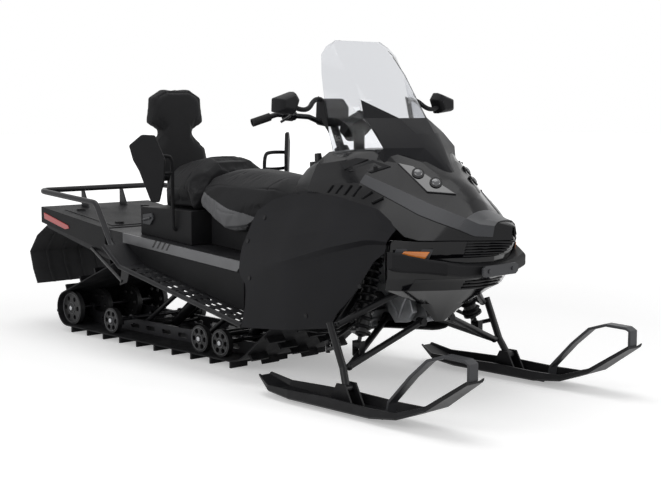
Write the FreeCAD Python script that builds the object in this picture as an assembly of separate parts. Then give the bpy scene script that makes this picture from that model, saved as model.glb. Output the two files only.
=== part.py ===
"""Two-up utility snowmobile, millimetres, +X forward, +Y to the rider's left, +Z up.

The origin lies on the ground under the middle of the machine, on its centre plane.
Every node is one STEP file in parts/.  Outlines are written as shares of the named
sizes that they follow, so each size can be changed by itself.
"""
import FreeCAD, Part
import math
import os

V = FreeCAD.Vector

# Overall reference sizes
BODY_HALF_WIDTH = 470.0
BODY_HEIGHT = 1000.0
FIREWALL_X = 400.0
NOSE_REACH = 1000.0
PANEL_WALL = 5.0
PANEL_GAP = 3.0
CUT_OVERRUN = 20.0

# Track and its path
TRACK_WIDTH = 609.0
BELT = 6.0
LUG_HEIGHT = 32.0
LUG_THICKNESS = 12.0
LUG_ROWS = 54
LUG_SINK = 2.0
LUG_LENGTH = 96.0
LUG_EDGE_GAP = 16.0
REAR_WHEEL_X = -1263.0
REAR_WHEEL_RADIUS = 85.0
UPPER_IDLER_X = -740.0
UPPER_IDLER_Z = 362.0
UPPER_IDLER_RADIUS = 62.0
SPROCKET_X = 330.0
SPROCKET_Z = 320.0
SPROCKET_RADIUS = 80.0
RAIL_CURVE_X = 40.0
RAIL_CURVE_RADIUS = 200.0

# Skid frame inside the track
RAIL_SPACING = 300.0
RAIL_THICKNESS = 12.0
RAIL_HEIGHT = 62.0
RAIL_TIP_ANGLE = 38.0
RAIL_SLOT_COUNT = 9
RAIL_SLOT_LENGTH = 70.0
RAIL_SLOT_HEIGHT = 22.0
BOGIE_RADIUS = 62.0
BOGIE_X = (-907.0, -199.0, -47.0)
WHEEL_WIDTH = 26.0
WHEEL_HUB_RADIUS = 18.0
WHEEL_SPOKES = 6
WHEEL_SPOKE_HOLE = 12.0
AXLE_RADIUS = 10.0
WHEEL_LINE_OUTER = 262.0
WHEEL_LINE_INNER = 92.0
SPROCKET_LINE = 70.0
SPROCKET_TEETH = 8
FRONT_ARM_FOOT_X = -330.0
FRONT_ARM_HEAD_X = 60.0
REAR_ARM_FOOT_X = -820.0
REAR_ARM_HEAD_X = -420.0
ARM_HEAD_Z = 345.0
ARM_TUBE_RADIUS = 14.0
SKID_SHOCK_RADIUS = 26.0

# Tunnel and running boards
TUNNEL_PLATE = 4.0
TUNNEL_REAR_X = -1400.0
TUNNEL_REAR_TOP = 604.0
TUNNEL_FRONT_TOP = 472.0
TUNNEL_SIDE_GAP = 15.5
TUNNEL_REAR_DEPTH = 70.0
TUNNEL_FRONT_LOW = 262.0
BOARD_FRONT_X = 323.6
BOARD_FRONT_Z = 248.0
BOARD_SLOPE = 10.8
BOARD_KINK_X = -560.0
BOARD_REAR_X = -690.0
BOARD_REAR_Z = 505.0
BOARD_PLATE = 4.0
BOARD_HALF_WIDTH = 455.0
BOARD_EDGE_RADIUS = 11.0
BOARD_SLOT_COUNT = 12
BOARD_SLOT_ROWS = 3
BOARD_SLOT_LENGTH = 34.0
BOARD_SLOT_WIDTH = 18.0
RAIL_STRIP_HEIGHT = 45.0
RAIL_STRIP_FRONT_X = 142.0
RAIL_STRIP_REAR_X = -712.0
RAIL_STRIP_THICKNESS = 8.0
SIDE_COVER_THICKNESS = 5.0
BRACKET_THICKNESS = 5.0
BRACKET_X = -560.0
BRACKET_Z = 345.0
STRUT_RADIUS = 9.0

# Tail
TAIL_REAR_X = -1435.0
TAIL_FRONT_X = -855.0
TAIL_HALF_WIDTH = 338.0
TAIL_DECK_RISE = 34.0
TAIL_LIGHT_HALF = 200.0
TAIL_LIGHT_HEIGHT = 26.0
TAIL_LIGHT_DEPTH = 22.0
FLAP_THICKNESS = 7.0
FLAP_HALF_WIDTH = 300.0
FLAP_REAR_X = -1620.0
FLAP_LOW_Z = 226.0
FLAP_RIBS = 5
RACK_HALF_WIDTH = 380.0
RACK_TUBE_RADIUS = 14.0
RACK_BEND = 55.0
RACK_REAR_X = -1378.0
RACK_REAR_Z = 728.0
RACK_FRONT_X = -863.0
RACK_FRONT_Z = 692.0
RACK_FOOT_X = -640.0
RACK_STAY_Y = 120.0
HITCH_PLATE = 10.0
HITCH_WIDTH = 70.0
HITCH_REACH = 120.0
HITCH_TUBE_INSET = 70.0
HITCH_BORE_RADIUS = 8.0
HITCH_Z = 496.0
ANCHOR_RADIUS = 22.0
ANCHOR_DRAFT = 20.0
ANCHOR_HEIGHT = 8.0
DECK_PAD_RISE = 3.0
DECK_PAD_MARGIN = 60.0
DECK_PAD_HALF = 270.0
ANCHOR_X = (-1273.0, -930.0)
ANCHOR_Y = 200.0
ANCHOR_BORE_RADIUS = 5.5

# Seats and backrest
SEAT_FRONT_X = 300.0
SEAT_LENGTH = 560.0
SEAT_TOP_Z = 862.0
SEAT_HALF_WIDTH = 190.0
SEAT_GAP = 6.0
PASSENGER_LENGTH = 285.0
PASSENGER_TOP_Z = 918.0
PASSENGER_HALF_WIDTH = 215.0
BOX_HALF_WIDTH = 262.0
BOX_REAR_X = -660.0
BACKREST_X = -762.0
BACKREST_HALF_WIDTH = 200.0
BACKREST_LOW_Z = 770.0
BACKREST_TOP_Z = 1256.0
BACKREST_THICKNESS = 60.0
GUARD_Y = 418.0
GUARD_X = -420.0
GUARD_TOP_Z = 1030.0
GUARD_TUBE = 9.0

# Front body
ENGINE_LENGTH = 278.0
BEAM_WIDTH = 36.0
BEAM_HEIGHT = 30.0
ENGINE_HALF_WIDTH = 200.0
ENGINE_LOW_Z = 300.0
ENGINE_HEIGHT = 390.0
ENGINE_GAP = 60.0
BUMPER_HEIGHT = 62.0
BUMPER_THICKNESS = 26.0
BUMPER_Z = 540.0
HEADLIGHT_DEPTH = 60.0
PROJECTOR_RADIUS = 27.0
SCREEN_WALL = 4.0
SCREEN_TOP_X = 545.0
SCREEN_TOP_Z = 1431.0
SCREEN_HALF_WIDTH = 250.0
MIRROR_Y = 462.0
MIRROR_X = 622.0
MIRROR_Z = 1172.0
MIRROR_WIDTH = 122.0
MIRROR_HEIGHT = 92.0
MIRROR_DEPTH = 60.0
GAUGE_X = 560.0
GAUGE_Z = 1060.0
GAUGE_RADIUS = 70.0
GAUGE_DEPTH = 35.0
GAUGE_FOOT_SHARE = 0.9745

# Front suspension, steering and skis
SKI_STANCE = 975.0
KINGPIN_Y = 437.0
UPPER_BALL_X = 880.0
UPPER_BALL_Z = 315.0
LOWER_BALL_X = 948.0
LOWER_BALL_Z = 160.0
BALL_RADIUS = 15.0
BALL_GAP = 3.0
ARM_RADIUS = 13.0
ARM_BOSS_RADIUS = 17.0
UPPER_ARM_Y = 215.0
UPPER_ARM_FRONT_X = 1012.0
UPPER_ARM_REAR_X = 803.0
UPPER_ARM_Z = 440.0
LOWER_ARM_Y = 85.0
LOWER_ARM_FRONT_X = 1000.0
LOWER_ARM_REAR_X = 815.0
LOWER_ARM_Z = 302.0
SHOCK_TOP = (862.0, -205.0, 592.0)
SHOCK_FOOT_Y = 356.0
SHOCK_FOOT_Z = 232.0
SOFT_GAP = 0.3
SEAT_RAIL = 40.0
SHOCK_BODY_RADIUS = 22.0
SHOCK_ROD_RADIUS = 8.0
SPRING_RADIUS = 34.0
SPRING_WIRE = 6.0
SPRING_TURNS = 9
SPINDLE_WIDTH = 44.0
SPINDLE_THICKNESS = 30.0
SADDLE_X = 985.0
SADDLE_Z = 88.0
SKI_BOLT_RADIUS = 8.0
SKI_FRONT_X = 1622.0
SKI_REAR_X = 512.0
SKI_HALF_WIDTH = 80.0
SKI_SKIN = 8.0
SKI_WALL_HEIGHT = 46.0
SKI_BASE_Z = 16.0
SKI_TIP_Z = 205.0
RUNNER_RADIUS = 9.0
LOOP_TUBE = 8.0
LOOP_TOP_Z = 290.0
TIE_ROD_RADIUS = 8.0
TIE_ROD_INNER_Y = 130.0
TIE_ROD_INNER_Z = 366.0
TIE_BALL_RADIUS = 13.0
STEER_ARM_REACH = 85.0
STEER_ARM_Z = 238.0
STEER_ARM_RADIUS = 9.0
BAR_RADIUS = 11.0
BAR_HALF_WIDTH = 400.0
BAR_X = 385.0
BAR_Z = 1125.0
POST_LOW_X = 470.0
POST_LOW_Z = 935.0
POST_RADIUS = 17.0
GRIP_RADIUS = 17.0


def at(share_x, share_z, share_y=0.0):
    """A point of the front body from its shares of reach, height and half width."""
    return V(FIREWALL_X + NOSE_REACH * share_x, BODY_HALF_WIDTH * share_y, BODY_HEIGHT * share_z)


def flipped(shape):
    """The same shape on the other side of the centre plane."""
    return shape.mirror(V(0, 0, 0), V(0, 1, 0))


def both(shape):
    """A right-hand shape together with its left-hand twin."""
    return Part.makeCompound([shape, flipped(shape)])


def fused(shapes):
    """One shape out of several that meet."""
    first = shapes[0]
    if len(shapes) > 1:
        first = first.multiFuse(shapes[1:])
    return first.removeSplitter()


def box(low, high):
    """A box between two opposite corners."""
    size = high - low
    return Part.makeBox(size.x, size.y, size.z, low)


def rod(start, end, radius, bore=0.0):
    """A round bar or tube between two points."""
    way = end - start
    solid = Part.makeCylinder(radius, way.Length, start, way)
    if bore > 0:
        solid = solid.cut(Part.makeCylinder(bore, way.Length, start, way))
    return solid


def rounded_edges(points, radius, closed=False):
    """Straight runs joined by tangent arcs, each arc limited by its shorter run."""
    count = len(points)
    corners = []
    for index in range(count):
        here = points[index]
        if not closed and index in (0, count - 1):
            corners.append((here, here, here))
            continue
        back = points[index - 1] - here
        ahead = points[(index + 1) % count] - here
        half = back.getAngle(ahead) / 2
        reach = min(radius / math.tan(half), back.Length * 0.45, ahead.Length * 0.45)
        start = here + back.normalize() * reach
        end = here + ahead.normalize() * reach
        depth = reach * math.tan(half)
        centre_way = (start + end) * 0.5 - here
        span = depth / math.sin(half)
        middle = here + centre_way.normalize() * (span - depth)
        corners.append((start, middle, end))
    edges = []
    last = count if closed else count - 1
    for index in range(last):
        start, middle, end = corners[index]
        if (end - start).Length > 0:
            edges.append(Part.Arc(start, middle, end).toShape())
        following = corners[(index + 1) % count][0]
        if (following - end).Length > 0:
            edges.append(Part.LineSegment(end, following).toShape())
    return edges


def bent_tube(points, radius, bend):
    """A round tube along a route with rounded corners."""
    path = Part.Wire(rounded_edges(points, bend))
    ring = Part.Wire(Part.makeCircle(radius, points[0], points[1] - points[0]))
    return path.makePipeShell([ring], True, False)


def outline_solid(points, way, bend=0.0):
    """A flat outline, with or without rounded corners, pushed along a direction."""
    if bend > 0:
        wire = Part.Wire(rounded_edges(points, bend, True))
    else:
        wire = Part.makePolygon(points + [points[0]])
    return Part.Face(wire).extrude(way)


def side_outline(points, low_y, high_y, bend=0.0):
    """An outline seen from the side, given as x and z, pushed across the machine."""
    flat = [V(x, low_y, z) for x, z in points]
    return outline_solid(flat, V(0, high_y - low_y, 0), bend)


def loft(rows):
    """A solid through closed outlines with equal numbers of corners."""
    wires = [Part.makePolygon(list(row) + [row[0]]) for row in rows]
    solid = Part.makeLoft(wires, True, True)
    if solid.Volume < 0:
        solid.reverse()
    return solid


ACROSS = V(1, 0, 0)
IN_PLAN = V(0, 0, -1)


def inward(points, wall, plane=ACROSS):
    """The same open outline moved inward by a wall, in the plane that it lies in."""
    moved = []
    for index, here in enumerate(points):
        before = points[max(index - 1, 0)]
        after = points[min(index + 1, len(points) - 1)]
        along = after - before
        moved.append(here + along.cross(plane).normalize() * wall)
    return moved


def shell(rows, wall):
    """A panel of even wall through open outlines that run from low outside to high inside."""
    return loft([list(row) + list(reversed(inward(row, wall))) for row in rows])


def body_rows(table_shares):
    """Points of each row of a share table, on the right-hand side of the body."""
    rows = []
    for share_x, outline_shares in table_shares:
        rows.append([at(share_x, share_z, -share_y) for share_y, share_z in outline_shares])
    return rows


def whole_row(row):
    """A right-hand row that ends on the centre plane, carried on to the left-hand edge."""
    return list(row) + [V(point.x, -point.y, point.z) for point in reversed(row[:-1])]


def whole_rows(table_shares):
    """Rows of a share table from the right-hand edge to the left-hand edge."""
    return [whole_row(row) for row in body_rows(table_shares)]


def path_circles():
    """Centres and radii of the four rounds that the belt's inner face lies on."""
    ground = LUG_HEIGHT + BELT
    return [
        (V(RAIL_CURVE_X, 0, ground + RAIL_CURVE_RADIUS), RAIL_CURVE_RADIUS),
        (V(SPROCKET_X, 0, SPROCKET_Z), SPROCKET_RADIUS),
        (V(UPPER_IDLER_X, 0, UPPER_IDLER_Z), UPPER_IDLER_RADIUS),
        (V(REAR_WHEEL_X, 0, ground + REAR_WHEEL_RADIUS), REAR_WHEEL_RADIUS),
    ]


def path_parts(offset):
    """Runs and arcs of the track path, each as start, end, centre and outward normals."""
    circles = path_circles()
    tangents = []
    for index, (centre, radius) in enumerate(circles):
        following, next_radius = circles[(index + 1) % len(circles)]
        way = following - centre
        lean = math.asin((radius - next_radius) / way.Length)
        heading = math.atan2(way.z, way.x) - math.pi / 2 + lean
        tangents.append(V(math.cos(heading), 0, math.sin(heading)))
    parts = []
    for index, (centre, radius) in enumerate(circles):
        arrive = tangents[index - 1]
        leave = tangents[index]
        parts.append(("arc", centre, radius + offset, arrive, leave))
        following, next_radius = circles[(index + 1) % len(circles)]
        start = centre + leave * (radius + offset)
        end = following + leave * (next_radius + offset)
        parts.append(("run", start, end, leave, leave))
    return parts


def path_face(offset):
    """The flat face inside the track path, grown by an offset."""
    edges = []
    for kind, first, second, arrive, leave in path_parts(offset):
        if kind == "run":
            edges.append(Part.LineSegment(first, second).toShape())
        else:
            middle = (arrive + leave).normalize()
            edges.append(Part.Arc(first + arrive * second, first + middle * second, first + leave * second).toShape())
    return Part.Face(Part.Wire(edges))


def path_places(count):
    """Evenly spaced places on the belt's outer face with their outward normals."""
    parts = path_parts(BELT)
    lengths = []
    for kind, first, second, arrive, leave in parts:
        if kind == "run":
            lengths.append((second - first).Length)
        else:
            lengths.append(second * arrive.getAngle(leave))
    pitch = sum(lengths) / count
    places = []
    for number in range(count):
        left = pitch * number
        index = 0
        while left > lengths[index]:
            left -= lengths[index]
            index += 1
        kind, first, second, arrive, leave = parts[index]
        if kind == "run":
            way = (second - first).normalize()
            places.append((first + way * left, arrive))
        else:
            turn = left / second
            start = math.atan2(arrive.z, arrive.x)
            normal = V(math.cos(start + turn), 0, math.sin(start + turn))
            places.append((first + normal * second, normal))
    return places


def make_track():
    """Endless belt with rows of staggered lugs."""
    half = TRACK_WIDTH / 2
    belt = path_face(BELT).cut(path_face(0)).extrude(V(0, TRACK_WIDTH, 0))
    belt.translate(V(0, -half, 0))
    reach = half - LUG_EDGE_GAP - LUG_LENGTH / 2
    layouts = [(-reach, 0, reach), (-reach / 2, reach / 2)]
    lugs = []
    for number, (place, normal) in enumerate(path_places(LUG_ROWS)):
        along = V(-normal.z, 0, normal.x) * LUG_THICKNESS
        low = place - normal * LUG_SINK
        high = place + normal * LUG_HEIGHT
        for centre_y in layouts[number % 2]:
            side = V(0, centre_y - LUG_LENGTH / 2, 0)
            corners = [low - along * 0.5, high - along * 0.5, high + along * 0.5, low + along * 0.5]
            lugs.append(outline_solid([corner + side for corner in corners], V(0, LUG_LENGTH, 0)))
    return belt.multiFuse(lugs)


def make_wheel(x, y, z, radius, width):
    """A spoked guide wheel on its hub."""
    axis = V(0, 1, 0)
    low = V(x, y - width / 2, z)
    wheel = Part.makeCylinder(radius, width, low, axis)
    ring = radius * 0.62
    for number in range(WHEEL_SPOKES):
        angle = 2 * math.pi * number / WHEEL_SPOKES
        centre = low + V(ring * math.cos(angle), 0, ring * math.sin(angle))
        wheel = wheel.cut(Part.makeCylinder(WHEEL_SPOKE_HOLE, width, centre, axis))
    bore = Part.makeCylinder(AXLE_RADIUS, width, low, axis)
    return wheel.cut(bore)


def belt_floor():
    """Height of the belt's inner face above the ground."""
    return LUG_HEIGHT + BELT


def make_wheels():
    """Bogie wheels, rear wheels and upper idlers."""
    floor = belt_floor()
    wheels = []
    for x in BOGIE_X:
        for y in (-WHEEL_LINE_OUTER, WHEEL_LINE_OUTER):
            wheels.append(make_wheel(x, y, floor + BOGIE_RADIUS, BOGIE_RADIUS, WHEEL_WIDTH))
    for y in (-WHEEL_LINE_OUTER, -WHEEL_LINE_INNER, WHEEL_LINE_INNER, WHEEL_LINE_OUTER):
        wheels.append(make_wheel(REAR_WHEEL_X, y, floor + REAR_WHEEL_RADIUS, REAR_WHEEL_RADIUS, WHEEL_WIDTH))
    for y in (-WHEEL_LINE_INNER, WHEEL_LINE_INNER):
        wheels.append(make_wheel(UPPER_IDLER_X, y, UPPER_IDLER_Z, UPPER_IDLER_RADIUS, WHEEL_WIDTH))
    return Part.makeCompound(wheels)


def rail_outline():
    """Side outline of one slide rail, its front end following the track's curve."""
    floor = belt_floor()
    centre_z = floor + RAIL_CURVE_RADIUS
    tip = math.radians(RAIL_TIP_ANGLE)
    inner = RAIL_CURVE_RADIUS - RAIL_HEIGHT

    def on_curve(radius, angle):
        return V(RAIL_CURVE_X + radius * math.sin(angle), 0, centre_z - radius * math.cos(angle))

    rear_low = V(REAR_WHEEL_X, 0, floor)
    rear_high = V(REAR_WHEEL_X, 0, floor + RAIL_HEIGHT)
    lower = Part.Arc(on_curve(RAIL_CURVE_RADIUS, 0), on_curve(RAIL_CURVE_RADIUS, tip / 2),
                     on_curve(RAIL_CURVE_RADIUS, tip)).toShape()
    upper = Part.Arc(on_curve(inner, tip), on_curve(inner, tip / 2), on_curve(inner, 0)).toShape()
    edges = [
        Part.LineSegment(rear_low, on_curve(RAIL_CURVE_RADIUS, 0)).toShape(),
        lower,
        Part.LineSegment(on_curve(RAIL_CURVE_RADIUS, tip), on_curve(inner, tip)).toShape(),
        upper,
        Part.LineSegment(on_curve(inner, 0), rear_high).toShape(),
        Part.LineSegment(rear_high, rear_low).toShape(),
    ]
    return Part.Face(Part.Wire(edges))


def make_rails():
    """Two slotted slide rails and the axles across them."""
    floor = belt_floor()
    rail = rail_outline().extrude(V(0, RAIL_THICKNESS, 0))
    rail.translate(V(0, -RAIL_SPACING / 2 - RAIL_THICKNESS / 2, 0))
    length = RAIL_CURVE_X - REAR_WHEEL_X
    pitch = length / (RAIL_SLOT_COUNT + 1)
    low_y = -RAIL_SPACING / 2 - RAIL_THICKNESS
    for number in range(RAIL_SLOT_COUNT):
        x = REAR_WHEEL_X + pitch * (number + 1)
        z = floor + RAIL_HEIGHT * 0.45
        half = RAIL_SLOT_LENGTH / 2
        drop = RAIL_SLOT_HEIGHT / 2
        slot = side_outline([(x - half, z - drop), (x + half, z - drop), (x + half, z + drop), (x - half, z + drop)],
                            low_y, low_y + 2 * RAIL_THICKNESS, drop * 0.9)
        rail = rail.cut(slot)
    rails = [rail, flipped(rail)]
    reach = WHEEL_LINE_OUTER + WHEEL_WIDTH / 2
    for x, z in [(x, floor + BOGIE_RADIUS) for x in BOGIE_X] + [(REAR_WHEEL_X, floor + REAR_WHEEL_RADIUS)]:
        rails.append(rod(V(x, -reach, z), V(x, reach, z), AXLE_RADIUS))
    for x in BOGIE_X + (REAR_WHEEL_X,):
        for side in (-1, 1):
            radius = REAR_WHEEL_RADIUS if x == REAR_WHEEL_X else BOGIE_RADIUS
            hub = rod(V(x, side * (RAIL_SPACING - RAIL_THICKNESS) / 2, floor + radius),
                      V(x, side * (RAIL_SPACING + RAIL_THICKNESS) / 2, floor + radius), WHEEL_HUB_RADIUS)
            rails.append(hub)
            rails.append(box(V(x - WHEEL_HUB_RADIUS, side * RAIL_SPACING / 2 - RAIL_THICKNESS / 2, floor + RAIL_HEIGHT / 2),
                             V(x + WHEEL_HUB_RADIUS, side * RAIL_SPACING / 2 + RAIL_THICKNESS / 2, floor + radius)))
    return fused(rails)


def arm_frame(foot_x, head_x, foot_half, head_half):
    """A swing arm: two side tubes with a cross tube at each end."""
    foot_z = foot_height()
    tubes = []
    for side in (-1, 1):
        tubes.append(rod(V(foot_x, side * foot_half, foot_z), V(head_x, side * head_half, ARM_HEAD_Z),
                         ARM_TUBE_RADIUS * 0.85))
    tubes.append(rod(V(foot_x, -foot_half - ARM_TUBE_RADIUS, foot_z), V(foot_x, foot_half + ARM_TUBE_RADIUS, foot_z),
                     ARM_TUBE_RADIUS))
    return fused(tubes)


def tunnel_half():
    """Half of the tunnel's inside width."""
    return TRACK_WIDTH / 2 + TUNNEL_SIDE_GAP


def make_swing_arms():
    """Front and rear swing arms of the skid frame with their head shafts."""
    inner = RAIL_SPACING / 2 - RAIL_THICKNESS / 2 - ARM_TUBE_RADIUS
    shapes = []
    for foot_x, head_x in ((FRONT_ARM_FOOT_X, FRONT_ARM_HEAD_X), (REAR_ARM_FOOT_X, REAR_ARM_HEAD_X)):
        arm = arm_frame(foot_x, head_x, inner, inner)
        shaft = rod(V(head_x, -tunnel_half(), ARM_HEAD_Z), V(head_x, tunnel_half(), ARM_HEAD_Z), ARM_TUBE_RADIUS)
        shapes.append(fused([arm, shaft]))
    return Part.makeCompound(shapes)


def damper(top, foot, rod_radius, body_radius, spring_radius, wire, turns):
    """Coil-over damper turned as one profile: rod, body, two seats and the spring's coils."""
    length = (foot - top).Length
    seat_top = length * 0.12
    seat_low = length * 0.86
    seat = wire * 1.5
    core = spring_radius - wire
    outline = [
        V(0, 0, 0),
        V(rod_radius, 0, 0),
        V(rod_radius, 0, seat_top - seat),
        V(spring_radius + wire, 0, seat_top - seat),
        V(spring_radius + wire, 0, seat_top),
        V(core, 0, seat_top),
    ]
    pitch = (seat_low - seat_top) / turns
    for number in range(turns):
        low = seat_top + pitch * number
        outline.append(V(core, 0, low + (pitch - wire * 2) / 2))
        outline.append(V(spring_radius, 0, low + (pitch - wire * 2) / 2))
        outline.append(V(spring_radius + wire, 0, low + pitch / 2))
        outline.append(V(spring_radius, 0, low + (pitch + wire * 2) / 2))
        outline.append(V(core, 0, low + (pitch + wire * 2) / 2))
    outline += [
        V(core, 0, seat_low),
        V(spring_radius + wire, 0, seat_low),
        V(spring_radius + wire, 0, seat_low + seat),
        V(body_radius, 0, seat_low + seat),
        V(body_radius, 0, length - rod_radius * 5),
        V(rod_radius, 0, length - rod_radius * 4),
        V(rod_radius, 0, length),
        V(0, 0, length),
    ]
    turned = Part.Face(Part.makePolygon(outline + [outline[0]])).revolve(V(0, 0, 0), V(0, 0, 1), 360)
    turned.Placement = FreeCAD.Placement(top, FreeCAD.Rotation(V(0, 0, 1), foot - top))
    eye = rod_radius * 2
    ends = [rod(end + V(-eye, 0, 0), end + V(eye, 0, 0), eye) for end in (top, foot)]
    return fused([turned] + ends)


def foot_height():
    """Height of the cross tubes between the slide rails."""
    return belt_floor() + RAIL_HEIGHT * 0.7


def make_skid_shocks():
    """Front and rear dampers between the swing arms and the rails."""
    shapes = []
    half = (RAIL_SPACING - RAIL_THICKNESS) / 2
    pairs = ((FRONT_ARM_HEAD_X - ARM_TUBE_RADIUS * 3, FRONT_ARM_FOOT_X + SKID_SHOCK_RADIUS * 7),
             (REAR_ARM_HEAD_X - ARM_TUBE_RADIUS * 3, REAR_ARM_FOOT_X + SKID_SHOCK_RADIUS * 3))
    for head_x, foot_x in pairs:
        top = V(head_x, 0, ARM_HEAD_Z - SKID_SHOCK_RADIUS * 2)
        foot = V(foot_x, 0, foot_height())
        cross = rod(V(foot_x, -half, foot.z), V(foot_x, half, foot.z), AXLE_RADIUS)
        shapes.append(fused([rod(top, foot, SKID_SHOCK_RADIUS), cross]))
    return Part.makeCompound(shapes)


def make_drive_axle():
    """Drive shaft across the tunnel with two toothed sprockets."""
    shaft = rod(V(SPROCKET_X, -tunnel_half(), SPROCKET_Z), V(SPROCKET_X, tunnel_half(), SPROCKET_Z), AXLE_RADIUS * 1.4)
    solids = [shaft]
    for side in (-1, 1):
        low = V(SPROCKET_X, side * SPROCKET_LINE - WHEEL_WIDTH, SPROCKET_Z)
        points = []
        for number in range(SPROCKET_TEETH * 4):
            angle = 2 * math.pi * number / (SPROCKET_TEETH * 4)
            radius = SPROCKET_RADIUS if number % 4 in (0, 1) else SPROCKET_RADIUS * 0.82
            points.append(low + V(radius * math.cos(angle), 0, radius * math.sin(angle)))
        solids.append(outline_solid(points, V(0, WHEEL_WIDTH * 2, 0)))
    return fused(solids)


def tunnel_top(x):
    """Height of the tunnel's top plate at a place along it."""
    share = (x - TUNNEL_REAR_X) / (FIREWALL_X - TUNNEL_REAR_X)
    return TUNNEL_REAR_TOP + (TUNNEL_FRONT_TOP - TUNNEL_REAR_TOP) * share


def board_top(x):
    """Height of the running board's straight part at a place along it."""
    return BOARD_FRONT_Z + (BOARD_FRONT_X - x) * math.tan(math.radians(BOARD_SLOPE))


def make_tunnel():
    """Folded tunnel channel over the track, closed at the front."""
    outer_half = tunnel_half() + TUNNEL_PLATE
    front_x = FIREWALL_X + SPROCKET_RADIUS
    outline = [
        (TUNNEL_REAR_X, tunnel_top(TUNNEL_REAR_X)),
        (front_x, tunnel_top(front_x)),
        (front_x, TUNNEL_FRONT_LOW),
        (BOARD_FRONT_X, TUNNEL_FRONT_LOW),
        (BOARD_KINK_X, board_top(BOARD_KINK_X) - RAIL_STRIP_HEIGHT),
        (TAIL_FRONT_X, board_top(BOARD_KINK_X)),
        (TUNNEL_REAR_X, tunnel_top(TUNNEL_REAR_X) - TUNNEL_REAR_DEPTH),
    ]
    solid = side_outline(outline, -outer_half, outer_half)
    inner_outline = [
        (TUNNEL_REAR_X - CUT_OVERRUN, tunnel_top(TUNNEL_REAR_X - CUT_OVERRUN) - TUNNEL_PLATE),
        (front_x - TUNNEL_PLATE, tunnel_top(front_x - TUNNEL_PLATE) - TUNNEL_PLATE),
        (front_x - TUNNEL_PLATE, 0),
        (TUNNEL_REAR_X - CUT_OVERRUN, 0),
    ]
    channel = solid.cut(side_outline(inner_outline, -tunnel_half(), tunnel_half()))
    return channel.cut(anchor_bores())


def anchor_bores():
    """Upright bolt holes of the deck's anchors, through the deck and the tunnel's top plate."""
    bores = []
    for x in ANCHOR_X:
        low_z = tunnel_top(x) - TUNNEL_PLATE - CUT_OVERRUN
        high_z = deck_top(x) + DECK_PAD_RISE + ANCHOR_HEIGHT + CUT_OVERRUN
        for y in (-ANCHOR_Y, ANCHOR_Y):
            bores.append(rod(V(x, y, low_z), V(x, y, high_z), ANCHOR_BORE_RADIUS))
    return Part.makeCompound(bores)


def board_edge_route(y, lift=0.0):
    """Route of the running board's outer edge at a distance from the centre plane."""
    return [
        V(BOARD_FRONT_X, y, BOARD_FRONT_Z + lift),
        V(BOARD_KINK_X, y, board_top(BOARD_KINK_X) + lift),
        V(BOARD_REAR_X, y, BOARD_REAR_Z + lift),
    ]


def make_board():
    """Right running board: slotted plate, round edge and rear riser."""
    inner_y = -tunnel_half() - TUNNEL_PLATE
    outer_y = -BOARD_HALF_WIDTH
    route = board_edge_route(0)
    outline = [(point.x, point.z) for point in route]
    outline += [(point.x, point.z - BOARD_PLATE) for point in reversed(route)]
    plate = side_outline(outline, outer_y, inner_y)
    span = BOARD_FRONT_X - BOARD_KINK_X
    pitch_x = span / (BOARD_SLOT_COUNT + 1)
    pitch_y = (inner_y - outer_y) / (BOARD_SLOT_ROWS + 1)
    cutters = []
    for row in range(BOARD_SLOT_ROWS):
        for number in range(BOARD_SLOT_COUNT):
            x = BOARD_KINK_X + pitch_x * (number + 1)
            y = outer_y + pitch_y * (row + 1)
            z = board_top(x)
            cutters.append(box(V(x - BOARD_SLOT_LENGTH / 2, y - BOARD_SLOT_WIDTH / 2, z - CUT_OVERRUN),
                               V(x + BOARD_SLOT_LENGTH / 2, y + BOARD_SLOT_WIDTH / 2, z + CUT_OVERRUN)))
    plate = plate.cut(Part.makeCompound(cutters))
    edge = bent_tube(board_edge_route(outer_y, -BOARD_PLATE / 2), BOARD_EDGE_RADIUS, BOARD_EDGE_RADIUS * 3)
    return fused([plate, edge])


def make_side_cover():
    """Right tunnel side: the light rail strip and the cover under it."""
    inner_y = -tunnel_half() - TUNNEL_PLATE
    strip_y = inner_y - RAIL_STRIP_THICKNESS
    rear = RAIL_STRIP_REAR_X
    front = RAIL_STRIP_FRONT_X
    strip = side_outline([
        (rear, tunnel_top(rear) - RAIL_STRIP_HEIGHT),
        (front, tunnel_top(front) - RAIL_STRIP_HEIGHT),
        (front + RAIL_STRIP_HEIGHT, tunnel_top(front)),
        (rear, tunnel_top(rear)),
    ], strip_y, inner_y)
    return strip


def make_lower_cover():
    """Right cover between the rail strip and the running board."""
    inner_y = -tunnel_half() - TUNNEL_PLATE
    rear = RAIL_STRIP_REAR_X + RAIL_STRIP_HEIGHT
    front = RAIL_STRIP_FRONT_X + RAIL_STRIP_HEIGHT
    low_rear = BOARD_KINK_X + RAIL_STRIP_HEIGHT
    return side_outline([
        (rear, tunnel_top(rear) - RAIL_STRIP_HEIGHT - PANEL_GAP),
        (low_rear, board_top(low_rear) + PANEL_GAP),
        (front, board_top(front) + PANEL_GAP),
        (front, tunnel_top(front) - RAIL_STRIP_HEIGHT - PANEL_GAP),
    ], inner_y - SIDE_COVER_THICKNESS, inner_y)


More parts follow.
